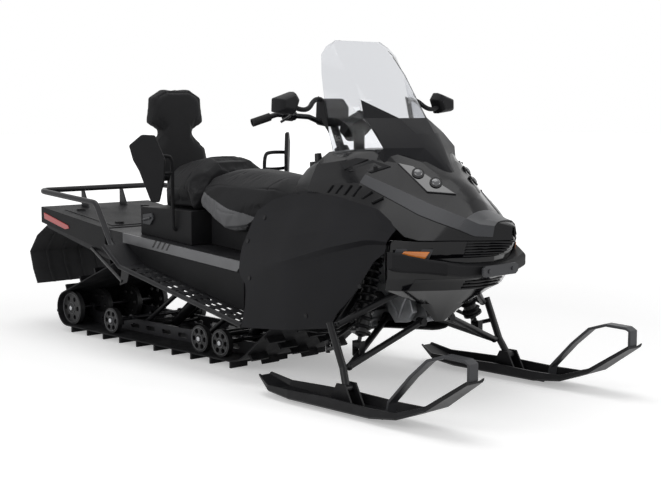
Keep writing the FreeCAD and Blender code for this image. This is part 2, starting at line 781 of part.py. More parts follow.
def make_rear_bracket():
    """Right bracket under the board's end with its strut up to the tail."""
    outer_y = -BOARD_HALF_WIDTH + BOARD_EDGE_RADIUS
    plate = side_outline([
        (BRACKET_X - CUT_OVERRUN, BRACKET_Z - CUT_OVERRUN),
        (BRACKET_X + CUT_OVERRUN * 2, BRACKET_Z),
        (BRACKET_X + CUT_OVERRUN * 3, board_top(BRACKET_X + CUT_OVERRUN * 3) - BOARD_PLATE),
        (BRACKET_X, board_top(BRACKET_X) - BOARD_PLATE),
    ], outer_y, outer_y + BRACKET_THICKNESS)
    low = V(BRACKET_X, outer_y + BRACKET_THICKNESS / 2, BRACKET_Z)
    high = V(TAIL_FRONT_X - RACK_STAY_Y, -tunnel_half() - TUNNEL_PLATE - STRUT_RADIUS, BOARD_REAR_Z - RAIL_STRIP_HEIGHT)
    return fused([plate, rod(low, high, STRUT_RADIUS)])


def make_tail():
    """Tail cover: deck with side walls round the tunnel's end, open below."""
    rear_top = tunnel_top(TAIL_REAR_X) + TAIL_DECK_RISE
    front_top = tunnel_top(TAIL_FRONT_X) + TUNNEL_PLATE
    outline = [
        (TAIL_FRONT_X, front_top),
        (TAIL_FRONT_X, front_top - TAIL_DECK_RISE * 3.4),
        (TAIL_REAR_X, rear_top - TAIL_DECK_RISE * 2.4),
        (TAIL_REAR_X, rear_top),
    ]
    outer = side_outline(outline, -TAIL_HALF_WIDTH, TAIL_HALF_WIDTH)
    inner_half = tunnel_half() + TUNNEL_PLATE
    inner = side_outline([
        (TAIL_FRONT_X + CUT_OVERRUN, tunnel_top(TAIL_FRONT_X + CUT_OVERRUN)),
        (TAIL_FRONT_X + CUT_OVERRUN, 0),
        (TUNNEL_REAR_X, 0),
        (TUNNEL_REAR_X, tunnel_top(TUNNEL_REAR_X)),
    ], -inner_half, inner_half)
    pad_rear = RACK_REAR_X + DECK_PAD_MARGIN
    pad_front = TAIL_FRONT_X - DECK_PAD_MARGIN / 2
    pad = side_outline([
        (pad_rear, deck_top(pad_rear)),
        (pad_front, deck_top(pad_front)),
        (pad_front, deck_top(pad_front) + DECK_PAD_RISE),
        (pad_rear, deck_top(pad_rear) + DECK_PAD_RISE),
    ], -DECK_PAD_HALF, DECK_PAD_HALF)
    bosses = [pad]
    for x in ANCHOR_X:
        top = deck_top(x) + DECK_PAD_RISE + ANCHOR_HEIGHT
        low = deck_top(x) - TUNNEL_PLATE
        low_radius = ANCHOR_RADIUS + (top - low) * math.tan(math.radians(ANCHOR_DRAFT))
        for y in (-ANCHOR_Y, ANCHOR_Y):
            bosses.append(Part.makeCone(low_radius, ANCHOR_RADIUS, top - low, V(x, y, low)))
    return fused([outer.cut(inner)] + bosses).cut(anchor_bores())


def deck_top(x):
    """Height of the tail deck at a place along it."""
    share = (x - TAIL_REAR_X) / (TAIL_FRONT_X - TAIL_REAR_X)
    rear_top = tunnel_top(TAIL_REAR_X) + TAIL_DECK_RISE
    front_top = tunnel_top(TAIL_FRONT_X) + TUNNEL_PLATE
    return rear_top + (front_top - rear_top) * share


def make_tail_light():
    """Light bar across the tail's rear edge."""
    top = deck_top(TAIL_REAR_X)
    return box(V(TAIL_REAR_X - TAIL_LIGHT_DEPTH, -TAIL_LIGHT_HALF, top - TAIL_LIGHT_HEIGHT * 1.5),
               V(TAIL_REAR_X, TAIL_LIGHT_HALF, top - TAIL_LIGHT_HEIGHT * 0.5))


FLAP_SHARES = ((0.0, 0.0), (0.62, 0.22), (1.0, 0.50), (0.86, 0.78), (0.66, 1.0))


def flap_top():
    """Height of the flap's upper edge, just under the tail cover's rear wall."""
    front_low = tunnel_top(TAIL_FRONT_X) + TUNNEL_PLATE - TAIL_DECK_RISE * 3.4
    rear_low = deck_top(TAIL_REAR_X) - TAIL_DECK_RISE * 2.4
    inner_x = TUNNEL_REAR_X - TAIL_LIGHT_DEPTH + FLAP_THICKNESS * 2
    share = (inner_x - TAIL_REAR_X) / (TAIL_FRONT_X - TAIL_REAR_X)
    return rear_low + (front_low - rear_low) * share - SOFT_GAP


def make_flap():
    """Snow flap: a curved ribbed sheet hanging from the tail."""
    start_x = TUNNEL_REAR_X - TAIL_LIGHT_DEPTH
    reach = start_x - FLAP_REAR_X
    top = flap_top()
    drop = top - FLAP_LOW_Z
    outer = []
    for share_x, share_z in FLAP_SHARES:
        outer.append((start_x - reach * share_x, top - drop * share_z))
    inner = [(x + FLAP_THICKNESS, z) for x, z in reversed(outer)]
    sheet = side_outline(outer + inner, -FLAP_HALF_WIDTH, FLAP_HALF_WIDTH)
    ribs = [sheet]
    pitch = FLAP_HALF_WIDTH * 2 / (FLAP_RIBS + 1)
    for number in range(FLAP_RIBS):
        y = -FLAP_HALF_WIDTH + pitch * (number + 1)
        rib_inner = [(x + FLAP_THICKNESS * 2, z) for x, z in reversed(outer)]
        ribs.append(side_outline(outer + rib_inner, y - FLAP_THICKNESS, y + FLAP_THICKNESS))
    notch = box(V(FLAP_REAR_X - CUT_OVERRUN, -HITCH_WIDTH * 0.7, HITCH_Z - HITCH_WIDTH * 0.7),
                V(TUNNEL_REAR_X + CUT_OVERRUN, HITCH_WIDTH * 0.7, top + CUT_OVERRUN))
    return fused(ribs).cut(notch)


def make_rack():
    """Cargo rack: one bent tube round the tail with two stays to the deck."""
    right = [
        V(RACK_FOOT_X, -RACK_HALF_WIDTH - RACK_TUBE_RADIUS, board_top(RACK_FOOT_X)),
        V(RACK_FRONT_X + RACK_BEND * 2.2, -RACK_HALF_WIDTH, BOARD_REAR_Z),
        V(RACK_FRONT_X, -RACK_HALF_WIDTH, RACK_FRONT_Z),
        V(RACK_REAR_X, -RACK_HALF_WIDTH, RACK_REAR_Z),
    ]
    left = [V(point.x, -point.y, point.z) for point in reversed(right)]
    hoop = bent_tube(right + left, RACK_TUBE_RADIUS, RACK_BEND)
    stays = [hoop]
    for side in (-1, 1):
        foot_x = RACK_REAR_X + RACK_BEND
        low_x = RACK_REAR_X - RACK_TUBE_RADIUS / 2
        y = side * RACK_STAY_Y
        stays.append(side_outline([
            (low_x, deck_top(low_x)),
            (foot_x, deck_top(foot_x)),
            (RACK_REAR_X + RACK_TUBE_RADIUS / 2, RACK_REAR_Z),
            (RACK_REAR_X - RACK_TUBE_RADIUS / 2, RACK_REAR_Z),
        ], y - BRACKET_THICKNESS, y + BRACKET_THICKNESS))
    return fused(stays)


def make_hitch():
    """Tow hitch: cross tube between the tunnel's sides and a tongue with its pin hole."""
    rear = TUNNEL_REAR_X - HITCH_REACH
    tube_x = TUNNEL_REAR_X + HITCH_TUBE_INSET
    tongue = box(V(rear, -HITCH_WIDTH / 2, HITCH_Z), V(tube_x, HITCH_WIDTH / 2, HITCH_Z + HITCH_PLATE))
    hole_x = rear + HITCH_REACH / 3
    bore = rod(V(hole_x, 0, HITCH_Z), V(hole_x, 0, HITCH_Z + HITCH_PLATE), HITCH_BORE_RADIUS)
    tube_z = tunnel_top(tube_x) - TUNNEL_REAR_DEPTH / 2
    tube = rod(V(tube_x, -tunnel_half(), tube_z), V(tube_x, tunnel_half(), tube_z), HITCH_PLATE)
    hangers = []
    for side in (-1, 1):
        y = side * (HITCH_WIDTH / 2 - HITCH_PLATE / 2)
        hangers.append(box(V(tube_x - HITCH_PLATE * 2, y - HITCH_PLATE / 2, HITCH_Z),
                           V(tube_x + HITCH_PLATE * 0.8, y + HITCH_PLATE / 2, tube_z + HITCH_PLATE * 0.5)))
    return fused([tongue, tube] + hangers).cut(bore)


SEAT_TOP_SHARES = ((0.0, 0.905), (0.18, 0.965), (0.5, 0.985), (0.83, 1.0), (1.0, 0.985))


def make_driver_seat():
    """Driver's seat cushion, one closed soft block on the tunnel."""
    rear_x = SEAT_FRONT_X - SEAT_LENGTH
    outline = []
    for share_x, share_z in SEAT_TOP_SHARES:
        outline.append((SEAT_FRONT_X - SEAT_LENGTH * share_x, SEAT_TOP_Z * share_z))
    outline.append((rear_x, tunnel_top(rear_x) + SOFT_GAP))
    outline.append((SEAT_FRONT_X, tunnel_top(SEAT_FRONT_X) + SOFT_GAP))
    return side_outline(outline, -SEAT_HALF_WIDTH, SEAT_HALF_WIDTH)


def make_passenger_seat():
    """Passenger's cushion on the box behind the driver's seat."""
    front_x = SEAT_FRONT_X - SEAT_LENGTH - SEAT_GAP
    rear_x = front_x - PASSENGER_LENGTH
    low = SEAT_TOP_Z * 0.79
    return side_outline([
        (front_x, low),
        (front_x, PASSENGER_TOP_Z * 0.985),
        (front_x - SEAT_GAP * 5, PASSENGER_TOP_Z),
        (rear_x, PASSENGER_TOP_Z * 0.955),
        (rear_x, low),
    ], -PASSENGER_HALF_WIDTH, PASSENGER_HALF_WIDTH)


def make_passenger_box():
    """Storage box under the passenger's cushion."""
    front_x = SEAT_FRONT_X - SEAT_LENGTH - SEAT_GAP
    top = passenger_box_top()
    return side_outline([
        (front_x, top),
        (front_x, tunnel_top(front_x)),
        (BOX_REAR_X, tunnel_top(BOX_REAR_X)),
        (BOX_REAR_X, top),
    ], -BOX_HALF_WIDTH, BOX_HALF_WIDTH)


def make_backrest():
    """Passenger's backrest pad with its hexagonal headrest."""
    half = BACKREST_HALF_WIDTH
    height = BACKREST_TOP_Z - BACKREST_LOW_Z
    outline_shares = [(0.78, 0.0), (1.0, 0.2), (0.95, 0.34), (0.55, 0.52), (0.55, 0.56), (0.88, 0.66),
                      (0.76, 0.92), (0.4, 1.0)]
    points = [V(BACKREST_X, half * share_y, BACKREST_LOW_Z + height * share_z) for share_y, share_z in outline_shares]
    points += [V(point.x, -point.y, point.z) for point in reversed(points)]
    return outline_solid(points, V(BACKREST_THICKNESS, 0, 0))


def make_backrest_post():
    """Post that carries the backrest from the passenger box."""
    x = BACKREST_X - RACK_TUBE_RADIUS - SOFT_GAP
    low = (passenger_box_top() + tunnel_top(BOX_REAR_X)) / 2
    rise = BACKREST_TOP_Z - (BACKREST_TOP_Z - BACKREST_LOW_Z) / 3
    return bent_tube([V(BOX_REAR_X, 0, low), V(x, 0, low), V(x, 0, rise)], RACK_TUBE_RADIUS, RACK_BEND)


def passenger_box_top():
    """Height of the passenger box under the cushion."""
    return SEAT_TOP_Z * 0.79 - SOFT_GAP


def make_guard():
    """Right passenger hand hold, from its upper end down and in to the passenger box."""
    y = -GUARD_Y
    drop = GUARD_TOP_Z - SEAT_TOP_Z
    foot_z = (passenger_box_top() + tunnel_top(GUARD_X)) / 2
    return bent_tube([
        V(GUARD_X, y, GUARD_TOP_Z),
        V(GUARD_X - GUARD_TUBE, y, GUARD_TOP_Z - drop * 0.7),
        V(GUARD_X, y + GUARD_TUBE * 3, GUARD_TOP_Z - drop * 1.3),
        V(GUARD_X, -BOX_HALF_WIDTH - GUARD_TUBE * 4, foot_z),
        V(GUARD_X, -BOX_HALF_WIDTH, foot_z),
    ], GUARD_TUBE, GUARD_TUBE * 3)


SIDE_PANEL_SHARES = (
    (-0.075, ((1.0, 0.241), (0.96, 0.412), (0.905, 0.56), (0.826, 0.725))),
    (0.16, ((0.957, 0.258), (0.96, 0.515), (0.885, 0.655), (0.726, 0.814))),
    (0.40, ((0.894, 0.292), (0.957, 0.622), (0.875, 0.71), (0.755, 0.789))),
    (0.46, ((0.89, 0.385), (0.957, 0.64), (0.878, 0.712), (0.765, 0.783))),
    (0.60, ((0.883, 0.48), (0.957, 0.672), (0.883, 0.72), (0.80, 0.765))),
    (0.74, ((0.87, 0.645), (0.94, 0.692), (0.90, 0.715), (0.83, 0.735))),
)


def make_side_panel():
    """Right side panel, from the foot well to the nose corner."""
    return shell(body_rows(SIDE_PANEL_SHARES), PANEL_WALL)


HOOD_SHARES = (
    (0.22, ((0.73, 0.812), (0.71, 0.85), (0.606, 0.93), (0.43, 0.975), (0.0, 0.985))),
    (0.40, ((0.752, 0.795), (0.734, 0.835), (0.64, 0.915), (0.46, 0.985), (0.0, 0.99))),
    (0.54, ((0.782, 0.778), (0.70, 0.85), (0.62, 0.91), (0.54, 0.96), (0.0, 0.975))),
    (0.64, ((0.81, 0.76), (0.62, 0.838), (0.574, 0.943), (0.32, 0.95), (0.0, 0.925))),
    (0.71, ((0.82, 0.74), (0.58, 0.812), (0.53, 0.925), (0.255, 0.90), (0.0, 0.862))),
    (0.78, ((0.80, 0.715), (0.54, 0.786), (0.457, 0.85), (0.234, 0.83), (0.0, 0.80))),
    (0.86, ((0.70, 0.69), (0.42, 0.752), (0.32, 0.762), (0.19, 0.757), (0.0, 0.745))),
    (0.95, ((0.38, 0.665), (0.32, 0.675), (0.25, 0.685), (0.128, 0.692), (0.0, 0.70))),
    (1.0, ((0.10, 0.655), (0.08, 0.66), (0.06, 0.664), (0.03, 0.666), (0.0, 0.668))),
)


def make_hood():
    """Hood from the windshield base to the nose, hollow below."""
    return shell(whole_rows(HOOD_SHARES), PANEL_WALL).cut(both(make_headlight()))


def hood_core():
    """The space under the hood's outer face, on both sides."""
    low = BODY_HEIGHT * HOOD_SHARES[-1][1][0][1]
    rows = []
    for row in whole_rows(HOOD_SHARES):
        rows.append(row + [V(point.x, point.y, low - CUT_OVERRUN) for point in (row[-1], row[0])])
    return loft(rows)


RECESS_SHARES = ((0.0, 0.835), (0.26, 0.82), (0.47, 0.80), (0.76, 0.715))
FASCIA_SHARES = (
    (0.660, ((0.0, 0.995), (0.26, 0.96), (0.47, 0.92), (0.80, 0.868))),
    (0.590, ((0.0, 0.925), (0.26, 0.90), (0.47, 0.875), (0.79, 0.79))),
    (0.575, RECESS_SHARES),
    (0.505, RECESS_SHARES),
    (0.490, ((0.0, 0.86), (0.26, 0.85), (0.47, 0.83), (0.74, 0.735))),
    (0.456, ((0.0, 0.856), (0.22, 0.84), (0.43, 0.82), (0.72, 0.733))),
    (0.385, ((0.0, 0.76), (0.13, 0.74), (0.25, 0.70), (0.32, 0.66))),
    (0.300, ((0.0, 0.65), (0.06, 0.645), (0.10, 0.637), (0.13, 0.63))),
)


def make_fascia():
    """Nose fascia from the hood's edge to the keel, with the grille opening."""
    rows = []
    for share_z, outline_shares in FASCIA_SHARES:
        outer = whole_row([at(share_x, share_z, -share_y) for share_y, share_x in reversed(outline_shares)])
        inner = [V(point.x - PANEL_WALL * 2, point.y, point.z) for point in reversed(outer)]
        rows.append(outer + inner)
    return loft(rows)


def make_bumper():
    """Front bumper bar in the fascia's recess."""
    right = [at(share_x, 0, -share_y) for share_y, share_x in reversed(RECESS_SHARES)]
    left = [V(point.x, -point.y, point.z) for point in reversed(right[:-1])]
    rear = [point + V(SOFT_GAP, 0, 0) for point in right + left]
    front = [point + V(BUMPER_THICKNESS, 0, 0) for point in reversed(rear)]
    bar = outline_solid(rear + front, V(0, 0, BUMPER_HEIGHT))
    bar.translate(V(0, 0, BUMPER_Z - BUMPER_HEIGHT / 2))
    return bar


def make_belly():
    """Belly pan under the engine, between the tunnel and the keel."""
    table_shares = (
        (0.07, ((0.95, 0.259), (0.70, 0.2567), (0.0, 0.2567))),
        (0.34, ((0.88, 0.262), (0.60, 0.252), (0.0, 0.250))),
        (0.40, ((0.30, 0.262), (0.18, 0.252), (0.0, 0.250))),
        (0.62, ((0.13, 0.272), (0.08, 0.264), (0.0, 0.262))),
    )
    rows = []
    for outer in whole_rows(table_shares):
        rows.append(outer + [V(point.x, point.y, point.z + PANEL_WALL) for point in reversed(outer)])
    return loft(rows)


def make_engine():
    """Engine as one plain block in front of the tunnel."""
    low_x = FIREWALL_X + SPROCKET_RADIUS + ENGINE_GAP / 3
    return box(V(low_x, -ENGINE_HALF_WIDTH, ENGINE_LOW_Z),
               V(low_x + ENGINE_LENGTH, ENGINE_HALF_WIDTH, ENGINE_LOW_Z + ENGINE_HEIGHT))


def make_bulkhead():
    """Front casting that carries the suspension arms and dampers."""
    rear_x = FIREWALL_X + SPROCKET_RADIUS + ENGINE_GAP / 3 + ENGINE_LENGTH
    shares = ((0.0, 0.0), (0.98, 0.05), (1.0, 0.12), (0.8, 0.55), (0.45, 1.0), (0.0, 1.0))
    length = LOWER_ARM_FRONT_X - rear_x + ARM_BOSS_RADIUS
    height = SHOCK_TOP[2] - LOWER_ARM_Z + ARM_BOSS_RADIUS
    low = LOWER_ARM_Z - ARM_BOSS_RADIUS
    outline = [(rear_x + length * share_x, low + height * share_z) for share_x, share_z in shares]
    half = LOWER_ARM_Y - ARM_BOSS_RADIUS
    core = side_outline(outline, -half, half)
    wing_low = V(rear_x, -UPPER_ARM_Y + ARM_BOSS_RADIUS, UPPER_ARM_Z - ARM_BOSS_RADIUS)
    wing_high = V(UPPER_ARM_FRONT_X, UPPER_ARM_Y - ARM_BOSS_RADIUS, UPPER_ARM_Z + ARM_BOSS_RADIUS)
    wing = box(wing_low, wing_high)
    eye = SHOCK_ROD_RADIUS * 2
    reach = -SHOCK_TOP[1] - eye - SOFT_GAP
    cheek = eye + PANEL_WALL
    tower_half = reach - eye
    tower = box(V(SHOCK_TOP[0] - cheek, -tower_half, UPPER_ARM_Z), V(SHOCK_TOP[0] + cheek, tower_half, SHOCK_TOP[2] + eye))
    lean = (RECESS_SHARES[0][1] - RECESS_SHARES[1][1]) * NOSE_REACH / (RECESS_SHARES[1][0] * BODY_HALF_WIDTH)
    arm_half = BEAM_WIDTH * 0.7
    arm_x = at(RECESS_SHARES[0][1], 0).x - PANEL_WALL * 2 - arm_half * lean - SOFT_GAP
    nose_arm = box(V(SHOCK_TOP[0], -arm_half, BUMPER_Z - BEAM_HEIGHT / 2), V(arm_x, arm_half, BUMPER_Z + BEAM_HEIGHT / 2))
    pieces = [core, wing, tower, nose_arm]
    for side in (-1, 1):
        for end in (-1, 1):
            near = SHOCK_TOP[0] + side * eye
            far = SHOCK_TOP[0] + side * cheek
            inner = end * (tower_half - PANEL_WALL)
            outer = end * (reach + eye * 2)
            pieces.append(box(V(min(near, far), min(inner, outer), SHOCK_TOP[2] - eye),
                              V(max(near, far), max(inner, outer), SHOCK_TOP[2] + eye)))
        beam_y = side * ENGINE_HALF_WIDTH * 0.8
        pieces.append(box(V(FIREWALL_X + SPROCKET_RADIUS, beam_y - BEAM_WIDTH / 2, ENGINE_LOW_Z - BEAM_HEIGHT),
                          V(rear_x + BEAM_WIDTH, beam_y + BEAM_WIDTH / 2, ENGINE_LOW_Z)))
        pieces.append(box(V(rear_x, min(0, beam_y), ENGINE_LOW_Z - BEAM_HEIGHT / 2),
                          V(rear_x + BEAM_WIDTH / 2, max(0, beam_y), ENGINE_LOW_Z + BEAM_HEIGHT)))
    return fused(pieces)


def ball_upper():
    """Centre of the right upper ball joint."""
    return V(UPPER_BALL_X, -KINGPIN_Y, UPPER_BALL_Z)


def ball_lower():
    """Centre of the right lower ball joint."""
    return V(LOWER_BALL_X, -KINGPIN_Y, LOWER_BALL_Z)


def wishbone(outer, inner_y, front_x, rear_x, inner_z):
    """A two-tube arm from its inner bosses to its outer ball."""
    front = V(front_x, inner_y, inner_z)
    rear = V(rear_x, inner_y, inner_z)
    way = V(ARM_BOSS_RADIUS, 0, 0)
    return fused([
        rod(outer, front, ARM_RADIUS),
        rod(outer, rear, ARM_RADIUS),
        rod(front - way, front + way, ARM_BOSS_RADIUS),
        rod(rear - way, rear + way, ARM_BOSS_RADIUS),
        Part.makeSphere(BALL_RADIUS, outer),
    ])


def make_upper_arm():
    """Right upper suspension arm."""
    return wishbone(ball_upper(), -UPPER_ARM_Y, UPPER_ARM_FRONT_X, UPPER_ARM_REAR_X, UPPER_ARM_Z)


def shock_foot():
    """Centre of the right damper's lower eye, between the lower arm's tubes."""
    share = (KINGPIN_Y - SHOCK_FOOT_Y) / (KINGPIN_Y - LOWER_ARM_Y)
    return V(LOWER_BALL_X + (LOWER_ARM_REAR_X - LOWER_BALL_X) * share, -SHOCK_FOOT_Y, SHOCK_FOOT_Z)


def make_lower_arm():
    """Right lower suspension arm with the damper's fork."""
    arm = wishbone(ball_lower(), -LOWER_ARM_Y, LOWER_ARM_FRONT_X, LOWER_ARM_REAR_X, LOWER_ARM_Z)
    share = (KINGPIN_Y - SHOCK_FOOT_Y) / (KINGPIN_Y - LOWER_ARM_Y)
    tube_z = LOWER_BALL_Z + (LOWER_ARM_Z - LOWER_BALL_Z) * share
    front = V(LOWER_BALL_X + (LOWER_ARM_FRONT_X - LOWER_BALL_X) * share, -SHOCK_FOOT_Y, tube_z)
    rear = V(shock_foot().x, -SHOCK_FOOT_Y, tube_z)
    eye = SHOCK_ROD_RADIUS * 2
    cross = rod(rear - V(eye * 1.5, 0, 0), front, ARM_RADIUS * 0.8)
    cheeks = []
    for side in (-1, 1):
        x = shock_foot().x + side * (eye + PANEL_WALL / 2)
        cheeks.append(box(V(x - PANEL_WALL / 2, -SHOCK_FOOT_Y - eye * 0.9, tube_z),
                          V(x + PANEL_WALL / 2, -SHOCK_FOOT_Y + eye * 0.9, SHOCK_FOOT_Z + eye)))
    return fused([arm, cross] + cheeks)


def make_front_shock():
    """Right coil-over damper between the lower arm and the bulkhead."""
    top = V(*SHOCK_TOP)
    foot = shock_foot()
    return damper(top, foot, SHOCK_ROD_RADIUS, SHOCK_BODY_RADIUS, SPRING_RADIUS, SPRING_WIRE, SPRING_TURNS)


def kingpin_way():
    """Direction of the right kingpin from the lower ball to the upper one."""
    return (ball_upper() - ball_lower()).normalize()


def ski_centre_y():
    """Distance of the right ski's centre line from the centre plane."""
    return -SKI_STANCE / 2


def steer_ball():
    """Centre of the right steering arm's ball joint, behind the kingpin."""
    share = (STEER_ARM_Z - LOWER_BALL_Z) / (UPPER_BALL_Z - LOWER_BALL_Z)
    x = LOWER_BALL_X + (UPPER_BALL_X - LOWER_BALL_X) * share
    return V(x - STEER_ARM_REACH, -KINGPIN_Y, STEER_ARM_Z)


def make_spindle():
    """Right spindle: leg outside the ball joints, steering arm and ski bolt."""
    way = kingpin_way()
    out = V(0, -(BALL_RADIUS + BALL_GAP), 0)
    half = SPINDLE_THICKNESS / 2
    top = ball_upper() + out + V(0, -half, 0)
    low = ball_lower() + out + V(0, -half, 0)
    foot = V(SADDLE_X, ski_centre_y(), SADDLE_Z)
    share = (STEER_ARM_Z - LOWER_BALL_Z) / (UPPER_BALL_Z - LOWER_BALL_Z)
    root = low + (top - low) * share
    ball = steer_ball()
    reach = BALL_RADIUS + BALL_GAP
    pins = []
    for centre in (ball_upper(), ball_lower()):
        pins.append(rod(centre + V(0, -reach - half, 0), centre + V(0, -BALL_RADIUS - SOFT_GAP, 0), half * 0.5))
    hub = half * 1.2
    return fused(pins + [
        bent_tube([top + way * half, low, foot], half, half * 2),
        rod(foot + V(0, -SPINDLE_WIDTH / 2, 0), foot + V(0, SPINDLE_WIDTH / 2, 0), hub),
        rod(root, ball + V(0, 0, -TIE_BALL_RADIUS * 2), STEER_ARM_RADIUS),
        rod(ball + V(0, 0, -TIE_BALL_RADIUS * 3), ball + V(0, 0, -TIE_BALL_RADIUS - SOFT_GAP), STEER_ARM_RADIUS),
    ]).cut(rod(foot + V(0, -SPINDLE_WIDTH / 2, 0), foot + V(0, SPINDLE_WIDTH / 2, 0), SKI_BOLT_RADIUS))


def make_tie_rod():
    """Right tie rod from the steering arm's ball to its free inner end."""
    ball = steer_ball()
    inner = V(ball.x, -TIE_ROD_INNER_Y, TIE_ROD_INNER_Z)
    return fused([rod(ball, inner, TIE_ROD_RADIUS), Part.makeSphere(TIE_BALL_RADIUS, ball),
                  Part.makeSphere(TIE_BALL_RADIUS, inner)])


SKI_SHARES = (
    (0.0, 0.26, 0.45, 0.3),
    (0.08, 0.05, 0.85, 0.6),
    (0.2, 0.0, 1.0, 0.85),
    (0.4, 0.0, 1.0, 1.0),
    (0.6, 0.0, 1.0, 0.9),
    (0.72, 0.09, 0.97, 0.6),
    (0.84, 0.36, 0.9, 0.4),
    (1.0, 1.0, 0.62, 0.3),
)


def make_ski():
    """Right ski: a channel with raised edges and a round runner below."""
    centre_y = ski_centre_y()
    length = SKI_FRONT_X - SKI_REAR_X
    rows = []
    for share_x, share_z, share_width, share_wall in SKI_SHARES:
        x = SKI_REAR_X + length * share_x
        z = SKI_BASE_Z + (SKI_TIP_Z - SKI_BASE_Z) * share_z
        half = SKI_HALF_WIDTH * share_width
        wall = SKI_WALL_HEIGHT * share_wall
        rows.append([
            V(x, centre_y - half, z + wall),
            V(x, centre_y - half, z + SKI_SKIN),
            V(x, centre_y - half + SKI_SKIN, z),
            V(x, centre_y + half - SKI_SKIN, z),
            V(x, centre_y + half, z + SKI_SKIN),
            V(x, centre_y + half, z + wall),
            V(x, centre_y + half - SKI_SKIN, z + wall),
            V(x, centre_y + half - SKI_SKIN * 2, z + SKI_SKIN),
            V(x, centre_y - half + SKI_SKIN * 2, z + SKI_SKIN),
            V(x, centre_y - half + SKI_SKIN, z + wall),
        ])
    skin = loft(rows)
    first = SKI_REAR_X + length * 0.24
    last = SKI_REAR_X + length * 0.6
    runner = rod(V(first, centre_y, RUNNER_RADIUS), V(last, centre_y, RUNNER_RADIUS), RUNNER_RADIUS)
    saddle_half = SPINDLE_WIDTH / 2 + BALL_GAP
    cheeks = []
    for side in (-1, 1):
        near = centre_y + side * saddle_half
        far = near + side * SKI_SKIN
        cheeks.append(side_outline([
            (SADDLE_X - SPINDLE_WIDTH * 1.6, SKI_BASE_Z + SKI_SKIN / 2),
            (SADDLE_X + SPINDLE_WIDTH * 1.6, SKI_BASE_Z + SKI_SKIN / 2),
            (SADDLE_X + SPINDLE_WIDTH / 2, SADDLE_Z + SPINDLE_WIDTH / 2),
            (SADDLE_X - SPINDLE_WIDTH / 2, SADDLE_Z + SPINDLE_WIDTH / 2),
        ], min(near, far), max(near, far)))
    pin = rod(V(SADDLE_X, centre_y - saddle_half - SKI_SKIN, SADDLE_Z),
              V(SADDLE_X, centre_y + saddle_half + SKI_SKIN, SADDLE_Z), SKI_BOLT_RADIUS - BALL_GAP / 10)
    return fused([skin, runner, pin] + cheeks)


def ski_floor(x):
    """Height of the ski's inner floor at a place along it."""
    share = (x - SKI_REAR_X) / (SKI_FRONT_X - SKI_REAR_X)
    for first, second in zip(SKI_SHARES, SKI_SHARES[1:]):
        if share <= second[0]:
            part = (share - first[0]) / (second[0] - first[0])
            share_z = first[1] + (second[1] - first[1]) * part
            return SKI_BASE_Z + (SKI_TIP_Z - SKI_BASE_Z) * share_z + SKI_SKIN
    return SKI_TIP_Z + SKI_SKIN


def make_ski_loop():
    """Right ski's hand loop from the deck up and over to the tip."""
    centre_y = ski_centre_y()
    length = SKI_FRONT_X - SKI_REAR_X
    tip_x = SKI_FRONT_X - LOOP_TUBE * 2
    base_x = SKI_REAR_X + length * 0.64
    base_z = ski_floor(base_x + LOOP_TUBE) + SOFT_GAP
    tip_z = ski_floor(tip_x + LOOP_TUBE) + SOFT_GAP
    return bent_tube([
        V(base_x, centre_y, base_z),
        V(base_x, centre_y, base_z + LOOP_TUBE * 2),
        V(base_x + length * 0.1, centre_y, LOOP_TOP_Z * 0.66),
        V(base_x + length * 0.22, centre_y, LOOP_TOP_Z),
        V(tip_x, centre_y, LOOP_TOP_Z * 0.98),
        V(tip_x, centre_y, tip_z),
    ], LOOP_TUBE, LOOP_TUBE * 4)


SCREEN_SHARES = (
    (1.0, 0.0, 0.64, 0.01),
    (0.9, 0.09, 0.86, 0.02),
    (0.72, 0.27, 0.98, 0.12),
    (0.5, 0.5, 1.0, 0.30),
    (0.3, 0.72, 1.0, 0.42),
)


def screen_row(share_z, share_x, share_width, share_back):
    """One level of the windshield: a plan arc from the right edge to the left edge."""
    low_z = BODY_HEIGHT * 0.86
    nose_x = FIREWALL_X + NOSE_REACH * 0.705
    z = low_z + (SCREEN_TOP_Z - low_z) * share_z
    x = SCREEN_TOP_X + (nose_x - SCREEN_TOP_X) * share_x
    back = (nose_x - SCREEN_TOP_X) * share_back
    half = SCREEN_HALF_WIDTH * share_width
    plan_shares = ((-1.0, 1.0), (-0.8, 0.5), (-0.4, 0.12), (0.0, 0.0), (0.4, 0.12), (0.8, 0.5), (1.0, 1.0))
    return [V(x - back * share, half * side, z) for side, share in plan_shares]


def make_screen():
    """Clear windshield: a curved sheet leaning back from the hood."""
    rows = []
    for shares in SCREEN_SHARES:
        outer = screen_row(*shares)
        rows.append(outer + list(reversed(inward(outer, SCREEN_WALL, IN_PLAN))))
    return loft(rows)


def make_screen_base():
    """Opaque base of the windshield, from the hood up to the clear sheet."""
    rows = []
    for shares in (SCREEN_SHARES[-1], (0.14, 0.86, 1.08, 0.45), (0.0, 1.0, 1.08, 0.48)):
        outer = screen_row(*shares)
        rows.append(outer + list(reversed(inward(outer, SCREEN_WALL, IN_PLAN))))
    base = loft(rows)
    base.translate(V(0, 0, -SOFT_GAP))
    return base.cut(hood_core()).Solids[0]


CONSOLE_SHARES = (
    (-0.06, ((0.36, 0.80), (0.34, 0.82), (0.22, 0.86), (0.12, 0.868), (0.0, 0.87))),
    (0.05, ((0.55, 0.80), (0.54, 0.83), (0.42, 0.90), (0.26, 0.93), (0.0, 0.935))),
    (0.2197, ((0.73, 0.812), (0.71, 0.85), (0.606, 0.93), (0.43, 0.975), (0.0, 0.985))),
)


def make_console():
    """Dash console between the hood and the seat, hollow below, with the post's opening."""
    panel = shell(whole_rows(CONSOLE_SHARES), PANEL_WALL)
    way = steering_way()
    low = V(POST_LOW_X, 0, POST_LOW_Z)
    opening = rod(low - way * SEAT_RAIL * 3, low + way * SEAT_RAIL * 3, POST_RADIUS * 2)
    return panel.cut(opening)


